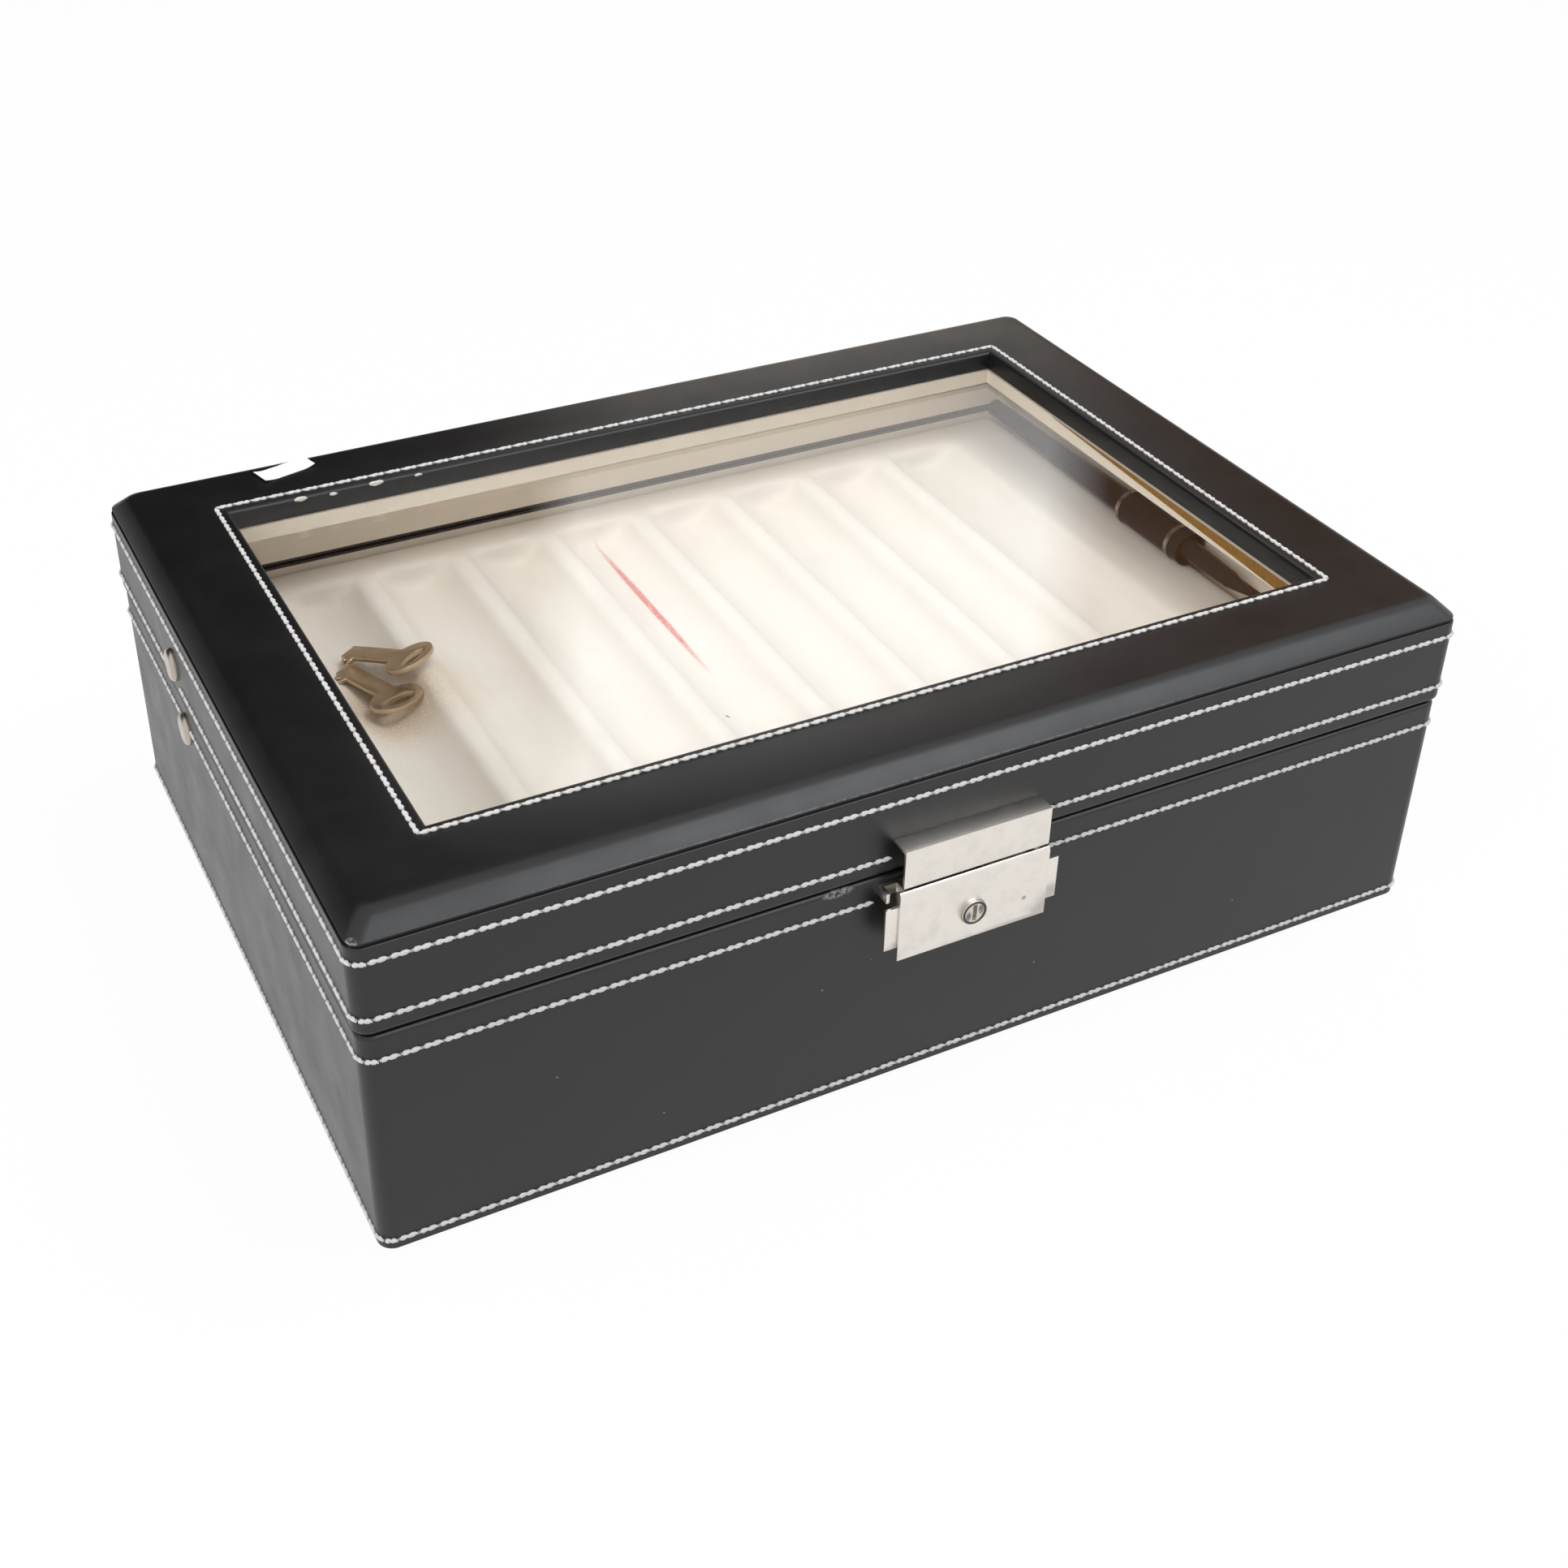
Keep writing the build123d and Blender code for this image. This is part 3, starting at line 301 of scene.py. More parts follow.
def cloud(tree, vector, scale, detail=3.0, roughness=0.5):
    """Soft noise."""
    node = add_node(tree, "ShaderNodeTexNoise")
    feed(tree, node.inputs["Vector"], vector)
    feed(tree, node.inputs["Scale"], scale)
    node.inputs["Detail"].default_value = detail
    node.inputs["Roughness"].default_value = roughness
    return node.outputs["Fac"]


def cells(tree, vector, scale):
    """Distance to the middle of each cell, and a random value for the cell."""
    node = add_node(tree, "ShaderNodeTexVoronoi")
    feed(tree, node.inputs["Vector"], vector)
    feed(tree, node.inputs["Scale"], scale)
    return node.outputs["Distance"], node.outputs["Color"]


def spot(tree, vector, centre, radii):
    """Mask that is one in the middle of an egg shaped patch and fades to its edge."""
    shift = add_node(tree, "ShaderNodeVectorMath", operation="SUBTRACT")
    feed(tree, shift.inputs[0], vector)
    shift.inputs[1].default_value = [value * MM for value in centre]
    shape = add_node(tree, "ShaderNodeVectorMath", operation="DIVIDE")
    feed(tree, shape.inputs[0], shift.outputs[0])
    shape.inputs[1].default_value = [value * MM for value in radii]
    length = add_node(tree, "ShaderNodeVectorMath", operation="LENGTH")
    feed(tree, length.inputs[0], shape.outputs[0])
    return spread(tree, length.outputs["Value"], 1.0, 0.55)


def ragged(tree, mask, vector, scale, low=0.38, high=0.55):
    """Mask broken up by noise."""
    return maths(tree, "MULTIPLY", mask, spread(tree, cloud(tree, vector, scale, 4.0, 0.65), low, high))


def new_group(name, inputs, outputs):
    """Empty node group with named sockets."""
    tree = bpy.data.node_groups.new(name, "ShaderNodeTree")
    for label, kind, default in inputs:
        socket = tree.interface.new_socket(name=label, in_out="INPUT", socket_type=kind)
        if default is not None:
            socket.default_value = default
    for label in outputs:
        tree.interface.new_socket(name=label, in_out="OUTPUT", socket_type="NodeSocketFloat")
    return tree, tree.nodes.new("NodeGroupInput").outputs, tree.nodes.new("NodeGroupOutput").inputs


VECTOR_INPUT = ("Vector", "NodeSocketVector", None)


def leather_grain_group():
    """Fine pebbles with shallow creases, and the slow waves of leather over board."""
    tree, given, result = new_group(
        "Leather grain",
        [VECTOR_INPUT, ("Scale", "NodeSocketFloat", 1500.0), ("Waves", "NodeSocketFloat", 1.0)],
        ("Height", "Shade"),
    )
    pebble, _ = cells(tree, given["Vector"], given["Scale"])
    fine = cloud(tree, given["Vector"], 4200.0, 2.0)
    waves = maths(tree, "MULTIPLY", cloud(tree, given["Vector"], 26.0, 1.0), given["Waves"])
    height = maths(tree, "ADD", maths(tree, "MULTIPLY", pebble, 0.30), maths(tree, "MULTIPLY", fine, 0.16))
    feed(tree, result["Height"], maths(tree, "ADD", height, maths(tree, "MULTIPLY", waves, 5.0)))
    feed(tree, result["Shade"], cloud(tree, given["Vector"], 60.0, 5.0, 0.6))
    return tree


def dust_group():
    """Scattered pale specks."""
    tree, given, result = new_group(
        "Dust specks",
        [VECTOR_INPUT, ("Spacing", "NodeSocketFloat", 160.0), ("Share", "NodeSocketFloat", 0.12)],
        ("Mask",),
    )
    distance, chance = cells(tree, given["Vector"], given["Spacing"])
    dot = spread(tree, distance, 0.055, 0.03)
    feed(tree, result["Mask"], maths(tree, "MULTIPLY", dot, maths(tree, "LESS_THAN", chance, given["Share"])))
    return tree


def nap_group():
    """Short nap of suede, brushed one way and another."""
    tree, given, result = new_group("Suede nap", [VECTOR_INPUT], ("Height", "Shade", "Stain"))
    fibres = cloud(tree, stretched(tree, given["Vector"], (1.0, 0.45, 1.0)), 2600.0, 3.0, 0.7)
    strokes = cloud(tree, stretched(tree, given["Vector"], (1.0, 0.3, 1.0)), 120.0, 3.0, 0.6)
    feed(tree, result["Height"], maths(tree, "ADD", fibres, strokes))
    feed(tree, result["Shade"], strokes)
    feed(tree, result["Stain"], spread(tree, cloud(tree, given["Vector"], 34.0, 4.0, 0.65), 0.56, 0.74))
    return tree


def satin_group():
    """Fine drawn lines and rubbed patches of satin metal."""
    tree, given, result = new_group("Satin metal", [VECTOR_INPUT], ("Height", "Shade", "Rub"))
    lines = cloud(tree, stretched(tree, given["Vector"], (0.06, 1.0, 1.0)), 5200.0, 2.0)
    feed(tree, result["Height"], lines)
    feed(tree, result["Shade"], lines)
    feed(tree, result["Rub"], spread(tree, cloud(tree, given["Vector"], 190.0, 4.0, 0.6), 0.46, 0.72))
    return tree


def fibre_group():
    """Long fibres of wood along X, with pores."""
    tree, given, result = new_group("Wood fibre", [VECTOR_INPUT], ("Height", "Shade"))
    grain = cloud(tree, stretched(tree, given["Vector"], (0.05, 1.0, 1.0)), 700.0, 4.0, 0.65)
    feed(tree, result["Height"], grain)
    feed(tree, result["Shade"], spread(tree, grain, 0.3, 0.7))
    return tree


GROUPS = {
    "grain": leather_grain_group,
    "dust": dust_group,
    "nap": nap_group,
    "satin": satin_group,
    "fibre": fibre_group,
}


def effect(tree, key, vector, **values):
    """One of the shared effects, placed in a material."""
    if key not in effect.made:
        effect.made[key] = GROUPS[key]()
    node = add_node(tree, "ShaderNodeGroup", node_tree=effect.made[key])
    feed(tree, node.inputs["Vector"], vector)
    for label, value in values.items():
        feed(tree, node.inputs[label], value)
    return node.outputs


effect.made = {}


def new_material(name):
    """Material with its shader and the object's own coordinates."""
    material = bpy.data.materials.new(name)
    material.use_nodes = True
    tree = material.node_tree
    shader = tree.nodes["Principled BSDF"]
    place = add_node(tree, "ShaderNodeTexCoord").outputs["Object"]
    return material, tree, shader, place


def relief(tree, shader, height, strength, depth):
    """Surface relief from a height."""
    node = add_node(tree, "ShaderNodeBump")
    node.inputs["Strength"].default_value = strength
    node.inputs["Distance"].default_value = depth
    feed(tree, node.inputs["Height"], height)
    feed(tree, shader.inputs["Normal"], node.outputs[0])


def surface(tree, shader, shade, roughness, height, strength, depth):
    """Colour, roughness and relief of a shader."""
    feed(tree, shader.inputs["Base Color"], shade)
    feed(tree, shader.inputs["Roughness"], roughness)
    relief(tree, shader, height, strength, depth)


def rgba(value, factor=1.0):
    """Colour as four channels, darkened or lightened by a factor."""
    return (*[min(1.0, channel * factor) for channel in value], 1.0)


# Finishes


def turned_in(tree, place):
    """Mask of the leather that is folded over the rim to the inner side of the walls."""
    parts = axes(tree, place)
    across = maths(tree, "DIVIDE", maths(tree, "ABSOLUTE", parts["X"]), 139.4 * MM)
    deep = maths(tree, "DIVIDE", maths(tree, "ABSOLUTE", parts["Y"]), 95.4 * MM)
    return spread(tree, maths(tree, "MAXIMUM", across, deep), 1.0, 0.999)


def leather_material(name, patches, rim=False):
    """Black leather with dust and with the worn places that it is given."""
    material, tree, shader, place = new_material(name)
    grain = effect(tree, "grain", place)
    dust = effect(tree, "dust", place)
    worn = maths(tree, "MULTIPLY", dust["Mask"], 0.5)
    for centre, radii, strength in patches:
        patch = ragged(tree, spot(tree, place, centre, radii), place, 900.0)
        worn = maths(tree, "MAXIMUM", worn, maths(tree, "MULTIPLY", patch, strength))
    shade = blended(tree, grain["Shade"], rgba(colours().leather, 0.75), rgba(colours().leather, 1.3))
    shade = blended(tree, worn, shade, rgba(colours().worn_leather))
    roughness = spread(tree, grain["Shade"], 0.3, 0.7, 0.34, 0.43)
    roughness = maths(tree, "ADD", roughness, maths(tree, "MULTIPLY", worn, 0.3))
    if rim:
        fold = turned_in(tree, place)
        shade = blended(tree, fold, shade, (0.035, 0.026, 0.019, 1.0))
        roughness = maths(tree, "ADD", roughness, maths(tree, "MULTIPLY", fold, 0.5))
    surface(tree, shader, shade, roughness, grain["Height"], 0.35, 0.00007)
    return material


def suede_material(name, base, patches=()):
    """Suede with a short nap, faint stains, and the marks and patches of painted shade that it is given."""
    material, tree, shader, place = new_material(name)
    nap = effect(tree, "nap", place)
    shade = blended(tree, nap["Shade"], rgba(base, 0.92), rgba(base, 1.06))
    shade = blended(tree, maths(tree, "MULTIPLY", nap["Stain"], 0.10), shade, rgba(base, 0.55))
    for centre, radii, tint, strength in patches:
        patch = ragged(tree, spot(tree, place, centre, radii), place, 1500.0, 0.30, 0.50)
        shade = blended(tree, maths(tree, "MULTIPLY", patch, strength), shade, (*tint, 1.0))
    shader.inputs["Sheen Weight"].default_value = 0.15
    roughness = spread(tree, nap["Shade"], 0.3, 0.7, 0.84, 0.95)
    surface(tree, shader, shade, roughness, nap["Height"], 0.35, 0.0001)
    return material


def metal_material(name, base, low, high, patches=()):
    """Satin metal between two roughnesses, darker at the spots that it is given."""
    material, tree, shader, place = new_material(name)
    satin = effect(tree, "satin", place)
    shade = blended(tree, satin["Shade"], rgba(base, 0.93), rgba(base, 1.05))
    shade = blended(tree, maths(tree, "MULTIPLY", satin["Rub"], 0.22), shade, rgba(base, 0.62))
    for centre, radii, strength in patches:
        patch = ragged(tree, spot(tree, place, centre, radii), place, 1200.0, 0.25, 0.45)
        shade = blended(tree, maths(tree, "MULTIPLY", patch, strength), shade, rgba(base, 0.25))
    shader.inputs["Metallic"].default_value = 1.0
    roughness = spread(tree, satin["Rub"], 0.0, 1.0, low, high)
    surface(tree, shader, shade, roughness, satin["Height"], 0.15, 0.00003)
    return material


def wood_material(name, base):
    """Raw board or wood with long fibres."""
    material, tree, shader, place = new_material(name)
    fibre = effect(tree, "fibre", place)
    shade = blended(tree, fibre["Shade"], rgba(base, 0.72), rgba(base, 1.15))
    roughness = spread(tree, fibre["Shade"], 0.0, 1.0, 0.82, 0.66)
    surface(tree, shader, shade, roughness, fibre["Height"], 0.4, 0.0001)
    return material


def thread_material():
    """Twisted white thread, a little soiled."""
    material, tree, shader, place = new_material("white_thread")
    fuzz = cloud(tree, place, 5200.0, 3.0, 0.7)
    soil = spread(tree, cloud(tree, place, 70.0, 4.0, 0.6), 0.45, 0.75)
    shade = blended(tree, fuzz, rgba(colours().thread, 0.82), rgba(colours().thread, 1.08))
    shade = blended(tree, maths(tree, "MULTIPLY", soil, 0.25), shade, (0.42, 0.39, 0.35, 1.0))
    surface(tree, shader, shade, spread(tree, fuzz, 0.3, 0.7, 0.62, 0.78), fuzz, 0.3, 0.00008)
    return material


def glass_material():
    """Clear pane with faint smears, open to the light that falls through it."""
    material, tree, shader, place = new_material("window_pane")
    smear = cloud(tree, stretched(tree, place, (1.0, 0.35, 1.0)), 45.0, 4.0, 0.6)
    shader.inputs["Base Color"].default_value = (0.985, 0.99, 0.985, 1.0)
    shader.inputs["Transmission Weight"].default_value = 1.0
    shader.inputs["IOR"].default_value = 1.5
    feed(tree, shader.inputs["Roughness"], spread(tree, smear, 0.5, 0.8, 0.0, 0.03))
    clear = add_node(tree, "ShaderNodeBsdfTransparent")
    rays = add_node(tree, "ShaderNodeLightPath").outputs
    open_rays = maths(tree, "MAXIMUM", rays["Is Shadow Ray"], rays["Is Diffuse Ray"])
    mix = add_node(tree, "ShaderNodeMixShader")
    feed(tree, mix.inputs[0], open_rays)
    feed(tree, mix.inputs[1], shader.outputs[0])
    feed(tree, mix.inputs[2], clear.outputs[0])
    feed(tree, tree.nodes["Material Output"].inputs["Surface"], mix.outputs[0])
    return material


def lacquer_material(name, base, low, high):
    """Gloss lacquer with fine scratches."""
    material, tree, shader, place = new_material(name)
    scratch = cloud(tree, stretched(tree, place, (1.0, 0.05, 1.0)), 900.0, 3.0, 0.6)
    shader.inputs["IOR"].default_value = 1.14
    shade = blended(tree, scratch, (*base, 1.0), rgba(base, 1.8))
    roughness = spread(tree, scratch, 0.35, 0.7, low, high)
    surface(tree, shader, shade, roughness, scratch, 0.02, 0.000005)
    return material


def paper_material():
    """Thin matt paper, a little yellowed."""
    material, tree, shader, place = new_material("label_paper")
    pulp = cloud(tree, place, 1800.0, 4.0, 0.7)
    age = cloud(tree, place, 160.0, 3.0)
    shade = blended(tree, pulp, (0.78, 0.775, 0.76, 1.0), (0.90, 0.895, 0.885, 1.0))
    shade = blended(tree, maths(tree, "MULTIPLY", age, 0.2), shade, (0.70, 0.66, 0.57, 1.0))
    surface(tree, shader, shade, spread(tree, pulp, 0.3, 0.7, 0.75, 0.88), pulp, 0.25, 0.00005)
    return material


def glue_material():
    """Dried pale glue."""
    material, tree, shader, place = new_material("dried_glue")
    lump = cloud(tree, place, 2400.0, 3.0)
    shade = blended(tree, lump, (0.48, 0.46, 0.43, 1.0), (0.76, 0.75, 0.72, 1.0))
    surface(tree, shader, shade, spread(tree, lump, 0.3, 0.7, 0.38, 0.62), lump, 0.4, 0.0001)
    return material


def dress(nodes, material):
    """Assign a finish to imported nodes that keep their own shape."""
    for node in nodes:
        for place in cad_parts[node].material_slots:
            place.material = material


# Pieces


class CASE_OT_leather(bpy.types.Operator):
    """Cover the base and the lid with worn black leather"""

    bl_idname = "pen_case.leather"
    bl_label = "Leather"

    def execute(self, context):
        base_marks = [
            ((-33.5, -106.0, 64.6), (4.6, 1.4, 1.3), 0.9),
            ((-150.0, -106.0, 60.0), (1.2, 1.2, 9.0), 0.25),
        ]
        lid_marks = [
            ((-149.6, -105.6, 92.0), (2.0, 2.0, 1.8), 0.9),
            ((-20.0, -106.3, 91.6), (130.0, 0.7, 0.5), 0.18),
            ((-122.9, 22.5, 96.2), (0.7, 2.2, 0.7), 0.8),
        ]
        dress(["base_leather_cover"], leather_material("base_leather", base_marks, rim=True))
        dress(["lid_side_leather"], leather_material("lid_band_leather", lid_marks, rim=True))
        lid_leather = leather_material("lid_leather", lid_marks)
        finish_piece(self.lid_cover(), "lid", lid_leather, ["lid_top_leather"])
        return {"FINISHED"}

    def lid_cover(self):
        """Skin of leather drawn softly over the bevelled frame and down into the window."""
        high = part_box("lid_top_leather")[1]
        glass_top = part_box("window_glass")[1].z
        foot = high.z - LID_BEVEL
        middle = (0, 0, (foot + high.z) / 2)
        size = (2 * high.x, 2 * high.y, high.z - foot)
        cover = primitive("cube", "lid_leather_cover", size=1, location=middle, scale=size)
        apply_place(cover)
        bpy.ops.object.mode_set(mode="EDIT")
        bpy.ops.mesh.select_mode(type="FACE")
        select_where(cover, "FACE", lambda at, normal: normal.z > 0.9)
        bpy.ops.transform.resize(value=(1 - LID_BEVEL / high.x, 1 - LID_BEVEL / high.y, 1))
        bpy.ops.mesh.select_mode(type="EDGE")
        select_where(cover, "EDGE", lambda at, along: abs(along.z) > 0.3)
        bpy.ops.mesh.bevel(offset=3.0 * MM, segments=6)
        select_where(cover, "EDGE", lambda at, along: at.z > high.z - NEAR)
        bpy.ops.mesh.bevel(offset=2.0 * MM, segments=5)
        select_where(cover, "EDGE", lambda at, along: at.z < foot + NEAR)
        bpy.ops.mesh.bevel(offset=0.7 * MM, segments=3)
        bpy.ops.object.mode_set(mode="OBJECT")
        opening = (2 * WINDOW_X, 2 * WINDOW_Y, 20 * MM)
        cutter = primitive("cube", "window_cutter", size=1, location=middle, scale=opening)
        apply_place(cutter)
        apply_modifier(cover, "BOOLEAN", operation="DIFFERENCE", object=cutter, solver="EXACT")
        bpy.data.objects.remove(cutter)
        activate(cover)
        bpy.ops.object.mode_set(mode="EDIT")
        bpy.ops.mesh.select_mode(type="FACE")
        select_where(cover, "FACE", lambda at, normal: normal.z < -0.99)
        bpy.ops.mesh.delete(type="FACE")
        bpy.ops.mesh.select_mode(type="EDGE")

        def at_window(at):
            return abs(at.x) < WINDOW_X + NEAR and abs(at.y) < WINDOW_Y + NEAR

        def at_foot(at, along):
            return abs(at.z - foot) < NEAR and abs(along.z) < 0.1

        select_where(cover, "EDGE", lambda at, along: at_window(at) and at_foot(at, along))
        bpy.ops.mesh.extrude_region_move(TRANSFORM_OT_translate={"value": (0, 0, glass_top - foot)})
        select_where(cover, "EDGE", lambda at, along: not at_window(at) and at_foot(at, along))
        bpy.ops.mesh.extrude_region_move(TRANSFORM_OT_translate={"value": (0, 0, -COVER_TUCK)})
        select_where(cover, "EDGE", lambda at, along: at_window(at) and at.z > high.z - NEAR)
        bpy.ops.mesh.bevel(offset=1.2 * MM, segments=3)
        bpy.ops.mesh.select_all(action="SELECT")
        bpy.ops.mesh.remove_doubles(threshold=SAME_PLACE)
        bpy.ops.mesh.normals_make_consistent(inside=False)
        bpy.ops.object.mode_set(mode="OBJECT")
        apply_modifier(cover, "SOLIDIFY", thickness=COVER_THICKNESS, offset=-1.0)
        bpy.ops.object.shade_smooth_by_angle(angle=math.radians(32))
        return cover


def one_stitch():
    """One stitch of two ply thread along X, lying on the plane Z = 0."""
    taper = sizes().thread_radius
    body = sizes().stitch_length - 2 * taper
    lying = (0, math.pi / 2, 0)
    stitch = primitive("cylinder", "stitch", vertices=6, radius=taper, depth=body, rotation=lying)
    apply_place(stitch)
    bpy.ops.object.mode_set(mode="EDIT")
    bpy.ops.mesh.select_mode(type="FACE")
    for side in (-1, 1):
        select_where(stitch, "FACE", lambda middle, normal: normal.x * side > 0.9)
        bpy.ops.mesh.extrude_region_move(TRANSFORM_OT_translate={"value": (side * taper, 0, 0)})
        bpy.ops.transform.resize(value=(1, STITCH_END, STITCH_END))
    bpy.ops.mesh.select_mode(type="EDGE")
    select_where(stitch, "EDGE", lambda middle, along: abs(along.x) > 0.99 and abs(middle.x) < body / 2)
    bpy.ops.mesh.subdivide(number_cuts=9)
    select_where(stitch, "EDGE", lambda middle, along: abs(along.x) > 0.5 and abs(middle.z) < 0.02 * MM)
    bpy.ops.transform.resize(value=(1, STITCH_WAIST, 1))
    bpy.ops.object.mode_set(mode="OBJECT")
    apply_modifier(stitch, "SIMPLE_DEFORM", deform_method="TWIST", deform_axis="X", angle=STITCH_TWIST)
    stitch.scale = (1, 1, STITCH_FLATNESS)
    apply_place(stitch)
    bpy.ops.object.shade_smooth()
    return stitch


def laid_stitches(stitch, start, end, outward, count, share=1.0):
    """Evenly spaced copies of a stitch, a share of its length each, along a straight stretch."""
    along = (end - start).normalized()
    step = (end - start).length / count
    run = stitch.copy()
    run.data = stitch.data.copy()
    bpy.context.scene.collection.objects.link(run)
    if count > 1:
        spacing = {"use_constant_offset": True, "constant_offset_displace": (step / share, 0, 0)}
        apply_modifier(run, "ARRAY", count=count, use_relative_offset=False, **spacing)
    turn = Matrix((along, outward.cross(along), outward)).transposed().to_4x4()
    first = start + along * step / 2 + outward * sizes().thread_proud
    run.matrix_world = Matrix.Translation(first) @ turn @ Matrix.Diagonal((share, 1, 1, 1))
    apply_place(run)
    return run


def stretches(start, end, gaps):
    """Parts of a straight stretch that stay clear of the gaps given along it."""
    parts = [(start, end)]
    for low, high in gaps:
        cut = []
        for left, right in parts:
            if high <= left or low >= right:
                cut.append((left, right))
                continue
            if low > left:
                cut.append((left, low))
            if high < right:
                cut.append((high, right))
        parts = cut
    return parts


def wall_row(stitch, name, half_x, half_y, level, front_gaps, back_gaps, left_gaps):
    """Row of stitches round a leather wall with round corners."""
    inner_x = half_x - CORNER_RADIUS
    inner_y = half_y - CORNER_RADIUS
    runs = []

    def straight(low, high, point, outward):
        count = max(1, round((high - low) / sizes().stitch_pitch))
        runs.append(laid_stitches(stitch, point(low), point(high), outward, count))

    for low, high in stretches(-inner_x, inner_x, front_gaps):
        straight(low, high, lambda value: Vector((value, -half_y, level)), Vector((0, -1, 0)))
    for low, high in stretches(-inner_x, inner_x, back_gaps):
        straight(low, high, lambda value: Vector((value, half_y, level)), Vector((0, 1, 0)))
    for low, high in stretches(-inner_y, inner_y, left_gaps):
        straight(low, high, lambda value: Vector((-half_x, value, level)), Vector((-1, 0, 0)))
    straight(-inner_y, inner_y, lambda value: Vector((half_x, value, level)), Vector((1, 0, 0)))
    for side_x in (-1, 1):
        for side_y in (-1, 1):
            for degrees in (22.5, 67.5):
                angle = math.radians(degrees)
                outward = Vector((side_x * math.cos(angle), side_y * math.sin(angle), 0))
                middle = Vector((side_x * inner_x, side_y * inner_y, level)) + outward * CORNER_RADIUS
                half = Vector((-outward.y, outward.x, 0)) * CORNER_STITCH_HALF * MM
                ends = middle - half, middle + half
                runs.append(laid_stitches(stitch, *ends, outward, 1, CORNER_STITCH_SHARE))
    return joined(runs, name)


def joined(runs, name):
    """Several objects joined into one named piece."""
    bpy.ops.object.select_all(action="DESELECT")
    for run in runs:
        run.select_set(True)
    bpy.context.view_layer.objects.active = runs[0]
    bpy.ops.object.join()
    return added(name)


class CASE_OT_stitching(bpy.types.Operator):
    """Sew the five rows of white thread"""

    bl_idname = "pen_case.stitching"
    bl_label = "Stitching"

    def execute(self, context):
        thread = thread_material()
        stitch = one_stitch()
        head = RIVET_HEAD + THREAD_CLEARANCE
        half = HINGE_HALF + THREAD_CLEARANCE
        hinges = [(-HINGE_X - half, -HINGE_X + half), (HINGE_X - half, HINGE_X + half)]
        hasp = [(LOCK_X - HASP_GAP, LOCK_X + HASP_GAP)]
        lock = [(LOCK_X - LOCK_GAP, LOCK_X + LOCK_GAP)]
        lid_rivet = [(LID_RIVET_Y - head, LID_RIVET_Y + head)]
        base_rivet = [(BASE_RIVET_Y - head, BASE_RIVET_Y + head)]
        lid = ("lid", HALF_WIDTH + LID_OVERHANG, HALF_DEPTH + LID_OVERHANG)
        base = ("base", HALF_WIDTH, HALF_DEPTH)
        rows = [
            ("lid_upper", lid, 86.5, [], [], []),
            ("lid_lower", lid, 71.0, hasp, hinges, lid_rivet),
            ("base_upper", base, 58.7, lock, hinges, base_rivet),
            ("base_lower", base, 3.7, [], [], []),
        ]
        for name, (body, half_x, half_y), level, front, back, left in rows:
            row = wall_row(stitch, f"{name}_thread", half_x, half_y, level * MM, front, back, left)
            finish_piece(row, body, thread, [f"{name}_stitching"])
        finish_piece(self.window_row(stitch), "lid", thread, ["window_stitching"])
        bpy.data.objects.remove(stitch)
        return {"FINISHED"}

    def window_row(self, stitch):
        """Row round the window, with square corners."""
        low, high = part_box("window_stitching")
        reach_x, reach_y, level = high.x - 0.5 * MM, high.y - 0.5 * MM, low.z
        sides = ((-1, -1), (1, -1), (1, 1), (-1, 1))
        corners = [Vector((x * reach_x, y * reach_y, level)) for x, y in sides]
        runs = []
        for start, end in zip(corners, corners[1:] + corners[:1]):
            count = round((end - start).length / sizes().stitch_pitch)
            runs.append(laid_stitches(stitch, start, end, Vector((0, 0, 1)), count))
        return joined(runs, "window_thread")


def soft_pad(node, name, grain, unevenness):
    """Pad with rounded edges and shallow dents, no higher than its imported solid."""
    pad = merged_copy(node, name)
    apply_modifier(pad, "REMESH", mode="VOXEL", voxel_size=grain, use_smooth_shade=True)
    apply_modifier(pad, "SMOOTH", factor=0.5, iterations=2)
    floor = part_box(node)[0].z
    for vertex in pad.data.vertices:
        lift = max(0.0, min(1.0, (vertex.co.z - floor) / (3 * MM)))
        dent = 0.5 + 0.5 * noise.noise(Vector(vertex.co) * 90.0)
        vertex.co.z -= unevenness * dent * lift
    bpy.ops.object.shade_smooth()
    return pad


class CASE_OT_tray(bpy.types.Operator):
    """Upholster the tray and the floor of the base"""

    bl_idname = "pen_case.tray"
    bl_label = "Tray and floor pad"

    def execute(self, context):
        red, dark, orange = (0.62, 0.075, 0.05), (0.05, 0.04, 0.04), (0.75, 0.38, 0.10)
        # The next two colours are painted shade round the keys.
        key_shade_tan, key_shade_brown = (0.60, 0.47, 0.33), (0.46, 0.34, 0.22)
        patches = [
            ((-13.9, 42.5, 57.2), (1.3, 44.0, 4.0), red, 0.95),
            ((-20.0, -21.0, 58.5), (0.8, 0.8, 4.0), dark, 0.9),
            ((8.0, -32.0, 60.0), (0.9, 0.9, 6.0), orange, 0.6),
            # The tan and brown patches round the keys are painted shade of the keys on the pad.
            ((-96.0, 22.0, 60.0), (26.0, 24.0, 14.0), key_shade_tan, 0.50),
            ((-99.0, 22.0, 60.0), (15.0, 17.0, 12.0), key_shade_brown, 0.60),
        ]
        pad = soft_pad("tray_pad", "tray_suede_pad", sizes().pad_grain, sizes().pad_unevenness)
        suede = suede_material("pad_suede", colours().pad, patches)
        finish_piece(pad, "tray", suede, ["tray_pad"])
        floor = soft_pad("base_floor_pad", "floor_suede_pad", 2.5 * MM, sizes().pad_unevenness)
        lining = suede_material("lining_suede", colours().lining)
        finish_piece(floor, "base", lining, ["base_floor_pad"])
        dress(["base_wall_lining", "tray_ledges", "lid_wall_lining", "lid_ceiling_lining"], lining)
        return {"FINISHED"}


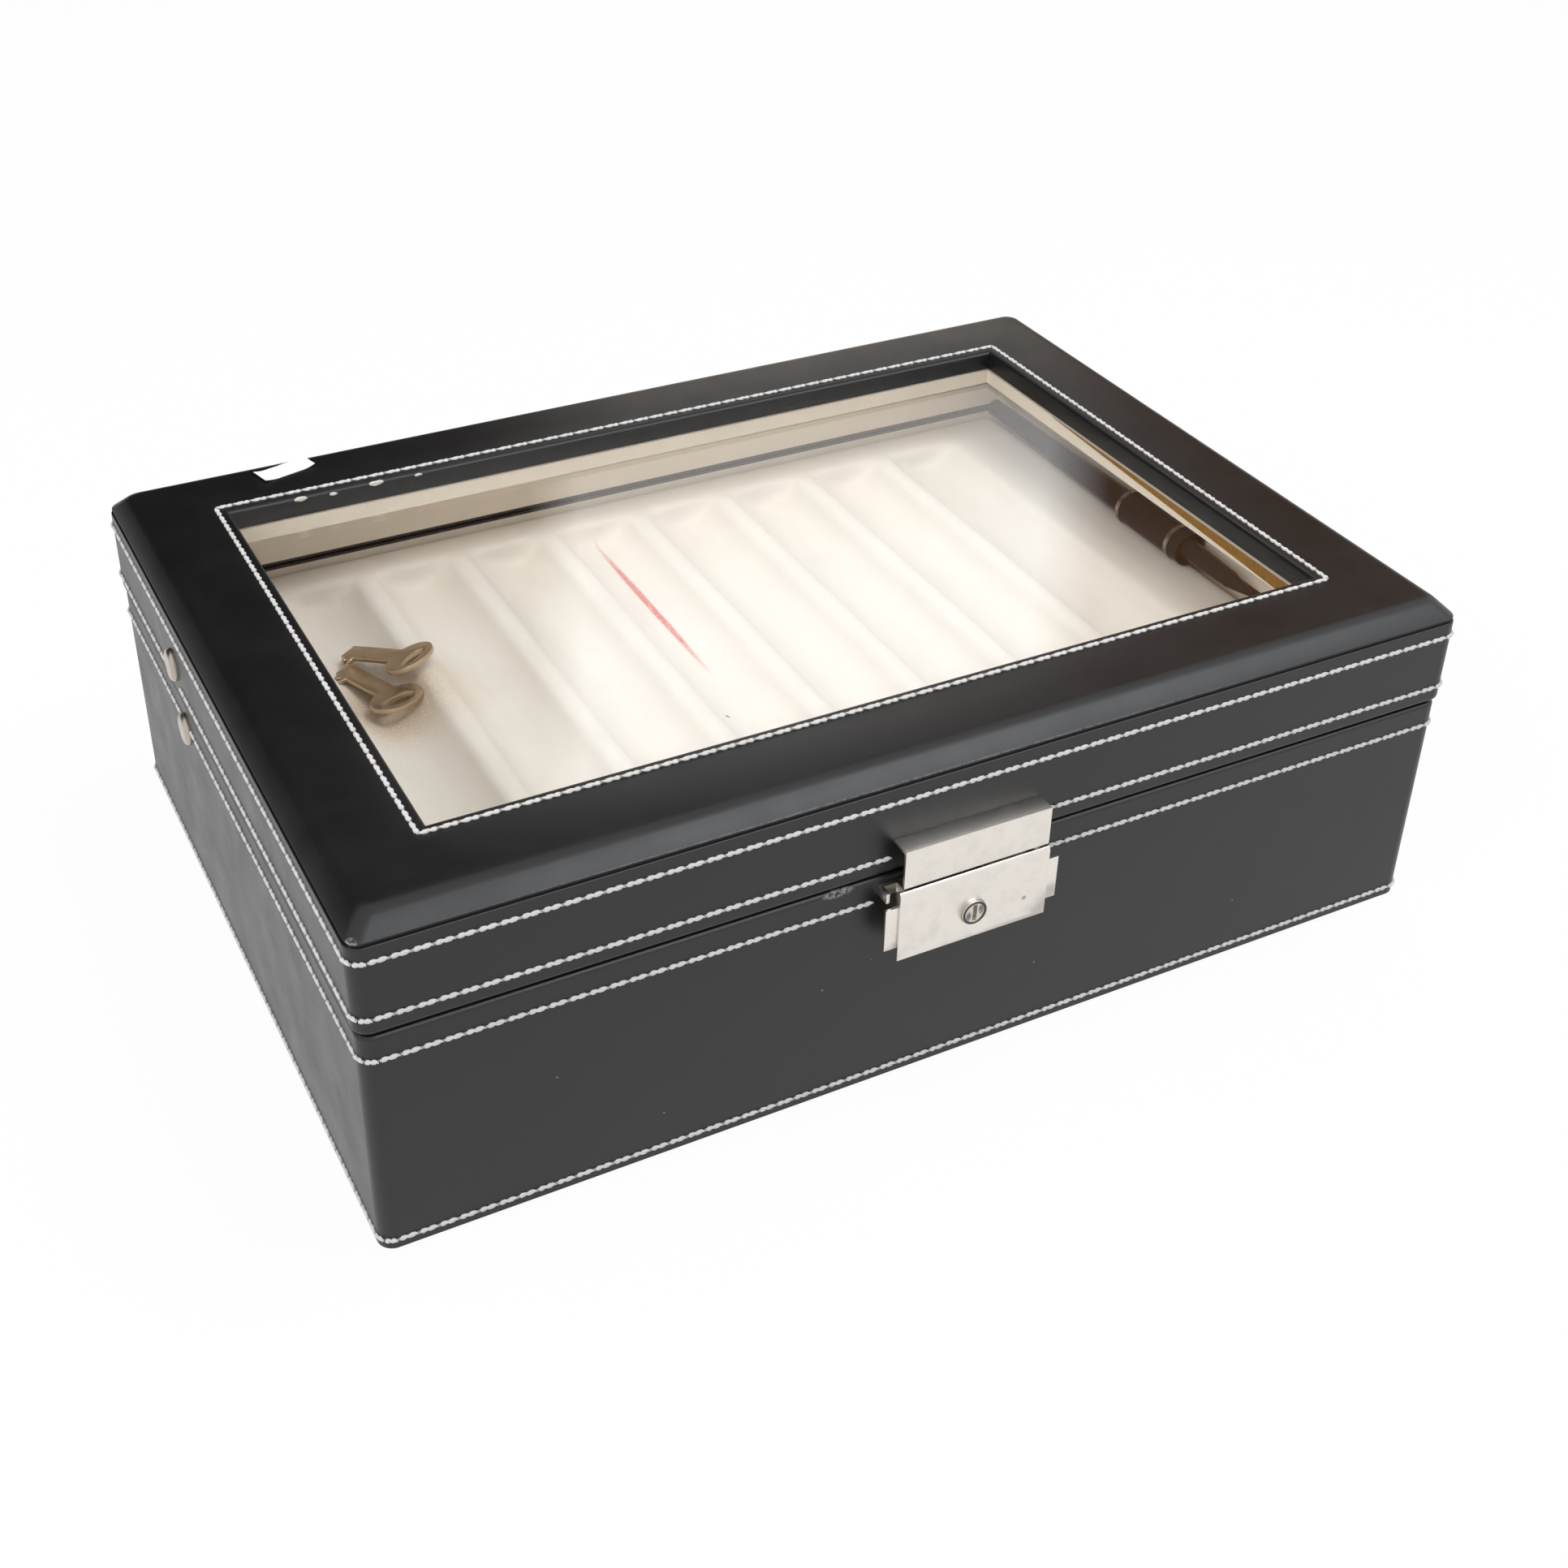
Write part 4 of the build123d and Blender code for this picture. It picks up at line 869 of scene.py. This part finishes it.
class CASE_OT_boards(bpy.types.Operator):
    """Finish the boards, the rails and the felt"""

    bl_idname = "pen_case.boards"
    bl_label = "Boards and felt"

    def execute(self, context):
        board = wood_material("raw_board", (0.44, 0.32, 0.20))
        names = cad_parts
        dress([node for node in names if node.endswith(("_board", "_rail"))], board)
        felt, tree, shader, place = new_material("black_felt")
        fuzz = cloud(tree, place, 3000.0, 4.0, 0.75)
        shade = blended(tree, fuzz, (0.010, 0.010, 0.010, 1.0), (0.045, 0.045, 0.047, 1.0))
        surface(tree, shader, shade, spread(tree, fuzz, 0.3, 0.7, 0.90, 0.98), fuzz, 0.6, 0.0002)
        dress(["underside_felt"], felt)
        return {"FINISHED"}


class CASE_OT_lock(bpy.types.Operator):
    """Fit the nickel lock, the hasp, the hinges and the stay"""

    bl_idname = "pen_case.lock"
    bl_label = "Lock and hinges"

    def execute(self, context):
        # Two dark spots on the lock's front plate.
        dark_plate_spots = [
            ((15.2, -112.3, 50.6), (0.8, 0.6, 0.8), 0.7),
            ((-10.5, -112.3, 50.0), (2.0, 0.6, 4.2), 0.10),
        ]
        nickel = metal_material("satin_nickel", colours().nickel, 0.30, 0.42, dark_plate_spots)
        crescents = [
            ((-1.0, -112.9, 50.9), (0.9, 1.4, 1.7), 0.95),
            ((2.4, -112.9, 52.1), (0.9, 1.4, 1.7), 0.95),
        ]
        dull = tuple(channel * 0.8 for channel in colours().nickel)
        barrel = metal_material("barrel_nickel", dull, 0.30, 0.42, crescents)
        steel = metal_material("zinc_steel", (0.50, 0.50, 0.50), 0.28, 0.40)
        edge = sizes().metal_edge
        pieces = [
            ("lock_front_plate", "lock_cover", "base"),
            ("lock_ear_plate", "lock_ears", "base"),
            ("lock_case", "lock_body", "base"),
            ("lock_barrel", "key_barrel", "lock_barrel_body"),
            ("hasp_plate", "folded_hasp", "lid"),
            ("hasp_tongue", "notched_tongue", "lid"),
            ("stay_lower_link", "lower_stay_arm", "stay_lower"),
            ("stay_upper_link", "upper_stay_arm", "stay_upper"),
        ]
        for node, name, body in pieces:
            finish = barrel if node == "lock_barrel" else nickel
            finish_piece(softened_copy(node, name, edge), body, finish, [node])
        dress(["hinge_base_leaves", "hinge_lid_leaves"], nickel)
        worn = metal_material("worn_nickel", (0.50, 0.45, 0.39), 0.30, 0.48)
        dress(["stay_base_rivet", "stay_lid_rivet"], worn)
        # The dark ring on the barrel is painted shade of the recess round its core, not a steel part.
        ring = self.barrel_shade_ring()
        dark = metal_material("barrel_recess_shade", (0.09, 0.085, 0.08), 0.4, 0.6)
        finish_piece(ring, "lock_barrel_body", dark)
        dress([f"{part}_screws" for part in ("lock", "hasp", "hinge_base", "hinge_lid")], steel)
        dress(["lock_bolt", "hinge_pins"], steel)
        return {"FINISHED"}

    def barrel_shade_ring(self):
        """Dark flat ring on the face of the key barrel, painted shade of the recess round its core."""
        place = {"location": (LOCK_X, -112.92 * MM, 51.5 * MM), "rotation": (math.pi / 2, 0, 0)}
        radii = {"major_radius": 3.0 * MM, "minor_radius": 0.34 * MM}
        facets = {"major_segments": 48, "minor_segments": 8}
        ring = primitive("torus", "barrel_shade_ring", **place, **radii, **facets)
        ring.scale = (1, 1, 0.5)
        apply_place(ring)
        bpy.ops.object.shade_smooth()
        return ring


class CASE_OT_window(bpy.types.Operator):
    """Glaze the lid and add the bare wood, the glue and the label"""

    bl_idname = "pen_case.window"
    bl_label = "Window and label"

    def execute(self, context):
        dress(["window_glass"], glass_material())
        strip = self.wood_strip()
        finish_piece(strip, "lid", wood_material("bare_wood", colours().raw_wood))
        finish_piece(self.glue(), "lid", glue_material())
        finish_piece(self.label(), "lid", paper_material(), ["blank_label"])
        return {"FINISHED"}

    def wood_strip(self):
        """Wedge of bare wood beside the lining on the right of the window."""
        place = (122.92 * MM, -13.5 * MM, 86.3 * MM)
        size = (0.16 * MM, 129 * MM, 4.0 * MM)
        strip = primitive("cube", "bare_wood_strip", size=1, location=place, scale=size)
        apply_place(strip)
        bpy.ops.object.mode_set(mode="EDIT")
        bpy.ops.mesh.select_all(action="SELECT")
        down = Vector((0, 4.0, -120.0)).normalized()
        bpy.ops.mesh.bisect(plane_co=(0, 42 * MM, 88.3 * MM), plane_no=down, use_fill=True, clear_outer=True)
        bpy.ops.object.mode_set(mode="OBJECT")
        return strip

    def glue(self):
        """Specks of glue on the back lip of the window."""
        specks = [(-102.9, 95.4, 1.2), (-93.7, 94.9, 0.8), (-81.1, 95.5, 1.3), (-68.6, 95.3, 0.7)]
        runs = []
        for x, z, radius in specks:
            shape = {"subdivisions": 2, "radius": radius * MM, "scale": (1.7, 0.3, 0.6)}
            place = (x * MM, WINDOW_LIP_Y, z * MM)
            speck = primitive("ico_sphere", "speck", location=place, **shape)
            apply_place(speck)
            for vertex in speck.data.vertices:
                vertex.co += vertex.normal * 0.25 * MM * noise.noise(vertex.co * 1400.0)
            bpy.ops.object.shade_smooth()
            runs.append(speck)
        return joined(runs, "glue_specks")

    def label(self):
        """Blank paper label with its ends curling up."""
        low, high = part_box("blank_label")
        middle = (low + high) / 2
        label = primitive("grid", "curled_label", x_subdivisions=16, y_subdivisions=6, size=1)
        label.scale = (16 * MM, 6.6 * MM, 1)
        apply_place(label)
        for vertex in label.data.vertices:
            curl = max(0.0, abs(vertex.co.x) / (8 * MM) - 0.45)
            vertex.co.z += 2.2 * MM * curl * curl + 0.12 * MM * noise.noise(vertex.co * 260.0)
        apply_modifier(label, "SOLIDIFY", thickness=0.16 * MM, offset=1.0)
        place = Matrix.Translation((middle.x, middle.y, low.z + 0.08 * MM))
        label.matrix_world = place @ Matrix.Rotation(math.radians(15), 4, "Z")
        apply_place(label)
        bpy.ops.object.shade_smooth_by_angle(angle=math.radians(40))
        return label


class CASE_OT_contents(bpy.types.Operator):
    """Lay the pen and the two keys on the tray"""

    bl_idname = "pen_case.contents"
    bl_label = "Pen and keys"

    def execute(self, context):
        lacquer = lacquer_material("pen_black_lacquer", (0.010, 0.010, 0.012), 0.10, 0.22)
        dress(["pen_barrel", "pen_sleeve", "pen_grip"], lacquer)
        dress(["pen_rings"], metal_material("pen_dull_ring", (0.30, 0.29, 0.27), 0.22, 0.32))
        brass = metal_material("tarnished_brass", (0.612, 0.484, 0.34), 0.34, 0.52)
        keys = [
            ("key_one", "first_key", (-90.2, 31.3, 65.7), (120.5, 15.5, -4.0), 1.65),
            ("key_two", "second_key", (-97.8, 20.6, 61.1), (108.5, 4.5, 0.0), 1.65),
        ]
        for node, name, bow, turns, factor in keys:
            key = softened_copy(node, name, 0.2 * MM)
            self.broaden(key, bow, turns, factor)
            finish_piece(key, f"{node}_body", brass, [node])
        return {"FINISHED"}

    def broaden(self, key, bow, turns, factor):
        """Widen a key across its blade, in the plane that it lies in."""
        yaw, pitch, roll = (math.radians(angle) for angle in turns)
        turn = Matrix.Rotation(yaw, 4, "Z") @ Matrix.Rotation(pitch, 4, "Y") @ Matrix.Rotation(roll, 4, "X")
        place = Matrix.Translation(Vector(bow) * MM) @ turn
        key.matrix_world = place.inverted()
        apply_place(key)
        key.scale = (1, factor, 1)
        apply_place(key)
        key.matrix_world = place
        apply_place(key)


# Stage


class CASE_OT_stage(bpy.types.Operator):
    """Set the floor, the light and the camera"""

    bl_idname = "pen_case.stage"
    bl_label = "Stage"

    def execute(self, context):
        scene = context.scene
        scene.view_settings.view_transform = "Standard"
        self.world(scene)
        self.floor()
        self.back_card()
        self.bevel_card()
        stage = scene.pen_case_stage
        self.lamp("key_lamp", (-0.95, -0.35, 0.75), (0, 0, 0.05), 0.9, stage.key_power)
        self.lamp("top_lamp", (0.36, -0.12, 0.92), (0.06, 0, 0.06), 0.6, stage.top_power)
        self.camera(scene)
        return {"FINISHED"}

    def world(self, scene):
        """White to the camera and to reflections, softer as a light."""
        scene.world = bpy.data.worlds.new("studio")
        scene.world.use_nodes = True
        tree = scene.world.node_tree
        background = tree.nodes["Background"]
        background.inputs["Color"].default_value = (1, 1, 1, 1)
        level = spread(tree, seen_or_reflected(tree), 0.0, 1.0, scene.pen_case_stage.sky, 1.0)
        feed(tree, background.inputs["Strength"], level)

    def floor(self):
        """Pale floor, white to the camera but for a faint shadow."""
        floor = primitive("plane", "floor", size=12)
        material, tree, shader, _ = new_material("pale_floor")
        shader.inputs["Base Color"].default_value = (0.82, 0.82, 0.82, 1)
        shader.inputs["Roughness"].default_value = 0.9
        shader.inputs["Specular IOR Level"].default_value = 0.0
        white = add_node(tree, "ShaderNodeEmission")
        mix = add_node(tree, "ShaderNodeMixShader")
        feed(tree, mix.inputs[0], maths(tree, "MULTIPLY", seen_or_reflected(tree), 0.95))
        feed(tree, mix.inputs[1], shader.outputs[0])
        feed(tree, mix.inputs[2], white.outputs[0])
        feed(tree, tree.nodes["Material Output"].inputs["Surface"], mix.outputs[0])
        floor.data.materials.append(material)

    def card(self, name, place, turn, size):
        """Glowing card that only reflections show, with its node tree and its light.

        A straight view through the glass passes the card, and a reflection inside the glass doesn't.
        """
        card = primitive("plane", name, size=1, location=place, rotation=turn)
        card.scale = (*size, 1)
        apply_place(card)
        material = bpy.data.materials.new(name)
        material.use_nodes = True
        tree = material.node_tree
        tree.nodes.clear()
        glow = add_node(tree, "ShaderNodeEmission")
        clear = add_node(tree, "ShaderNodeBsdfTransparent")
        rays = add_node(tree, "ShaderNodeLightPath").outputs
        straight = maths(tree, "LESS_THAN", rays["Glossy Depth"], 0.5)
        mix = add_node(tree, "ShaderNodeMixShader")
        feed(tree, mix.inputs[0], maths(tree, "MULTIPLY", straight, rays["Is Transmission Ray"]))
        feed(tree, mix.inputs[1], glow.outputs[0])
        feed(tree, mix.inputs[2], clear.outputs[0])
        output = add_node(tree, "ShaderNodeOutputMaterial")
        feed(tree, output.inputs["Surface"], mix.outputs[0])
        card.data.materials.append(material)
        card.visible_camera = False
        card.visible_diffuse = False
        card.visible_shadow = False
        return tree, glow

    def bevel_card(self):
        """Cool light that runs along the front bevel and fades to all four edges."""
        place = Vector((0.27, -0.585, 0.655))
        turn = (Vector((0, -0.1, 0.09)) - place).to_track_quat("-Z", "Y").to_euler()
        tree, glow = self.card("bevel_card", place, turn, (1.3, 0.62))
        parts = axes(tree, add_node(tree, "ShaderNodeTexCoord").outputs["UV"])
        fade = maths(tree, "MULTIPLY", self.hump(tree, parts["X"]), self.hump(tree, parts["Y"]))
        glow.inputs["Color"].default_value = (0.92, 0.95, 1.0, 1.0)
        feed(tree, glow.inputs["Strength"], spread(tree, fade, 0.0, 1.0, 1.0, 5.2))

    def hump(self, tree, value):
        """One in the middle of the range from zero to one, fading smoothly to both ends."""
        return maths(tree, "SINE", maths(tree, "MULTIPLY", value, math.pi))

    def back_card(self):
        """Dark card with a white panel behind the case."""
        tree, glow = self.card("back_card", (0.05, 0.494, 0.55), (math.pi / 2, 0, 0), (2.3, 0.92))
        parts = axes(tree, add_node(tree, "ShaderNodeTexCoord").outputs["Object"])
        left = spread(tree, parts["X"], 0.12, 0.15)
        right = spread(tree, parts["X"], 0.505, 0.455)
        top = spread(tree, parts["Z"], 0.60, 0.52)
        low = spread(tree, parts["Z"], 0.26, 0.44)
        panel = maths(tree, "MULTIPLY", maths(tree, "MULTIPLY", left, right), top)
        warm = spread(tree, parts["X"], 0.30, 0.60)
        dark = blended(tree, warm, (0.017, 0.011, 0.009, 1.0), (0.25, 0.12, 0.055, 1.0))
        white = blended(tree, low, (0.66, 0.58, 0.50, 1.0), (0.94, 0.97, 1.0, 1.0))
        feed(tree, glow.inputs["Color"], blended(tree, panel, dark, white))
        feed(tree, glow.inputs["Strength"], spread(tree, panel, 0.0, 1.0, 1.0, 1.35))

    def lamp(self, name, place, target, size, power):
        """Large soft lamp that is left out of reflections."""
        data = bpy.data.lights.new(name, "AREA")
        data.shape = "DISK"
        data.size = size
        data.energy = power
        lamp = bpy.data.objects.new(name, data)
        lamp.location = place
        lamp.rotation_euler = (Vector(target) - Vector(place)).to_track_quat("-Z", "Y").to_euler()
        lamp.visible_glossy = False
        bpy.context.scene.collection.objects.link(lamp)

    def camera(self, scene):
        """Camera of the photograph, solved from the straight edges of the case."""
        data = bpy.data.cameras.new("camera")
        data.sensor_width = 36.0
        data.lens = 48.72
        data.shift_x = 0.01937
        data.shift_y = -0.0730
        camera = bpy.data.objects.new("camera", data)
        right = Vector((0.88984, -0.45606, 0.01428))
        up = Vector((0.23631, 0.48742, 0.84058))
        back = Vector((-0.39031, -0.74461, 0.54149))
        place = Matrix((right, up, back)).transposed().to_4x4()
        place.translation = (-0.23232, -0.44055, 0.37671)
        camera.matrix_world = place
        scene.collection.objects.link(camera)
        scene.camera = camera


PIECES = (
    CASE_OT_leather,
    CASE_OT_stitching,
    CASE_OT_tray,
    CASE_OT_boards,
    CASE_OT_lock,
    CASE_OT_window,
    CASE_OT_contents,
    CASE_OT_stage,
)


class CASE_PT_panel(bpy.types.Panel):
    """Pieces and settings of the pen display case"""

    bl_idname = "CASE_PT_panel"
    bl_label = "Pen display case"
    bl_space_type = "VIEW_3D"
    bl_region_type = "UI"
    bl_category = "Pen Case"

    def draw(self, context):
        for operator in PIECES:
            self.layout.operator(operator.bl_idname)
        for setting in SETTINGS:
            group = getattr(context.scene, setting)
            box = self.layout.box()
            for name in group.__annotations__:
                box.prop(group, name)


SETTINGS = {"pen_case_sizes": CaseSizes, "pen_case_colours": CaseColours, "pen_case_stage": CaseStage}


def register():
    for group in (*SETTINGS.values(), *PIECES, CASE_PT_panel):
        bpy.utils.register_class(group)
    for name, group in SETTINGS.items():
        setattr(bpy.types.Scene, name, PointerProperty(type=group))


def unregister():
    for name in SETTINGS:
        delattr(bpy.types.Scene, name)
    for group in (CASE_PT_panel, *reversed(PIECES), *reversed(SETTINGS.values())):
        bpy.utils.unregister_class(group)


def main():
    """Build every piece in order."""
    register()
    for operator in PIECES:
        group, name = operator.bl_idname.split(".")
        getattr(getattr(bpy.ops, group), name)()


if __name__ == "__main__":
    main()
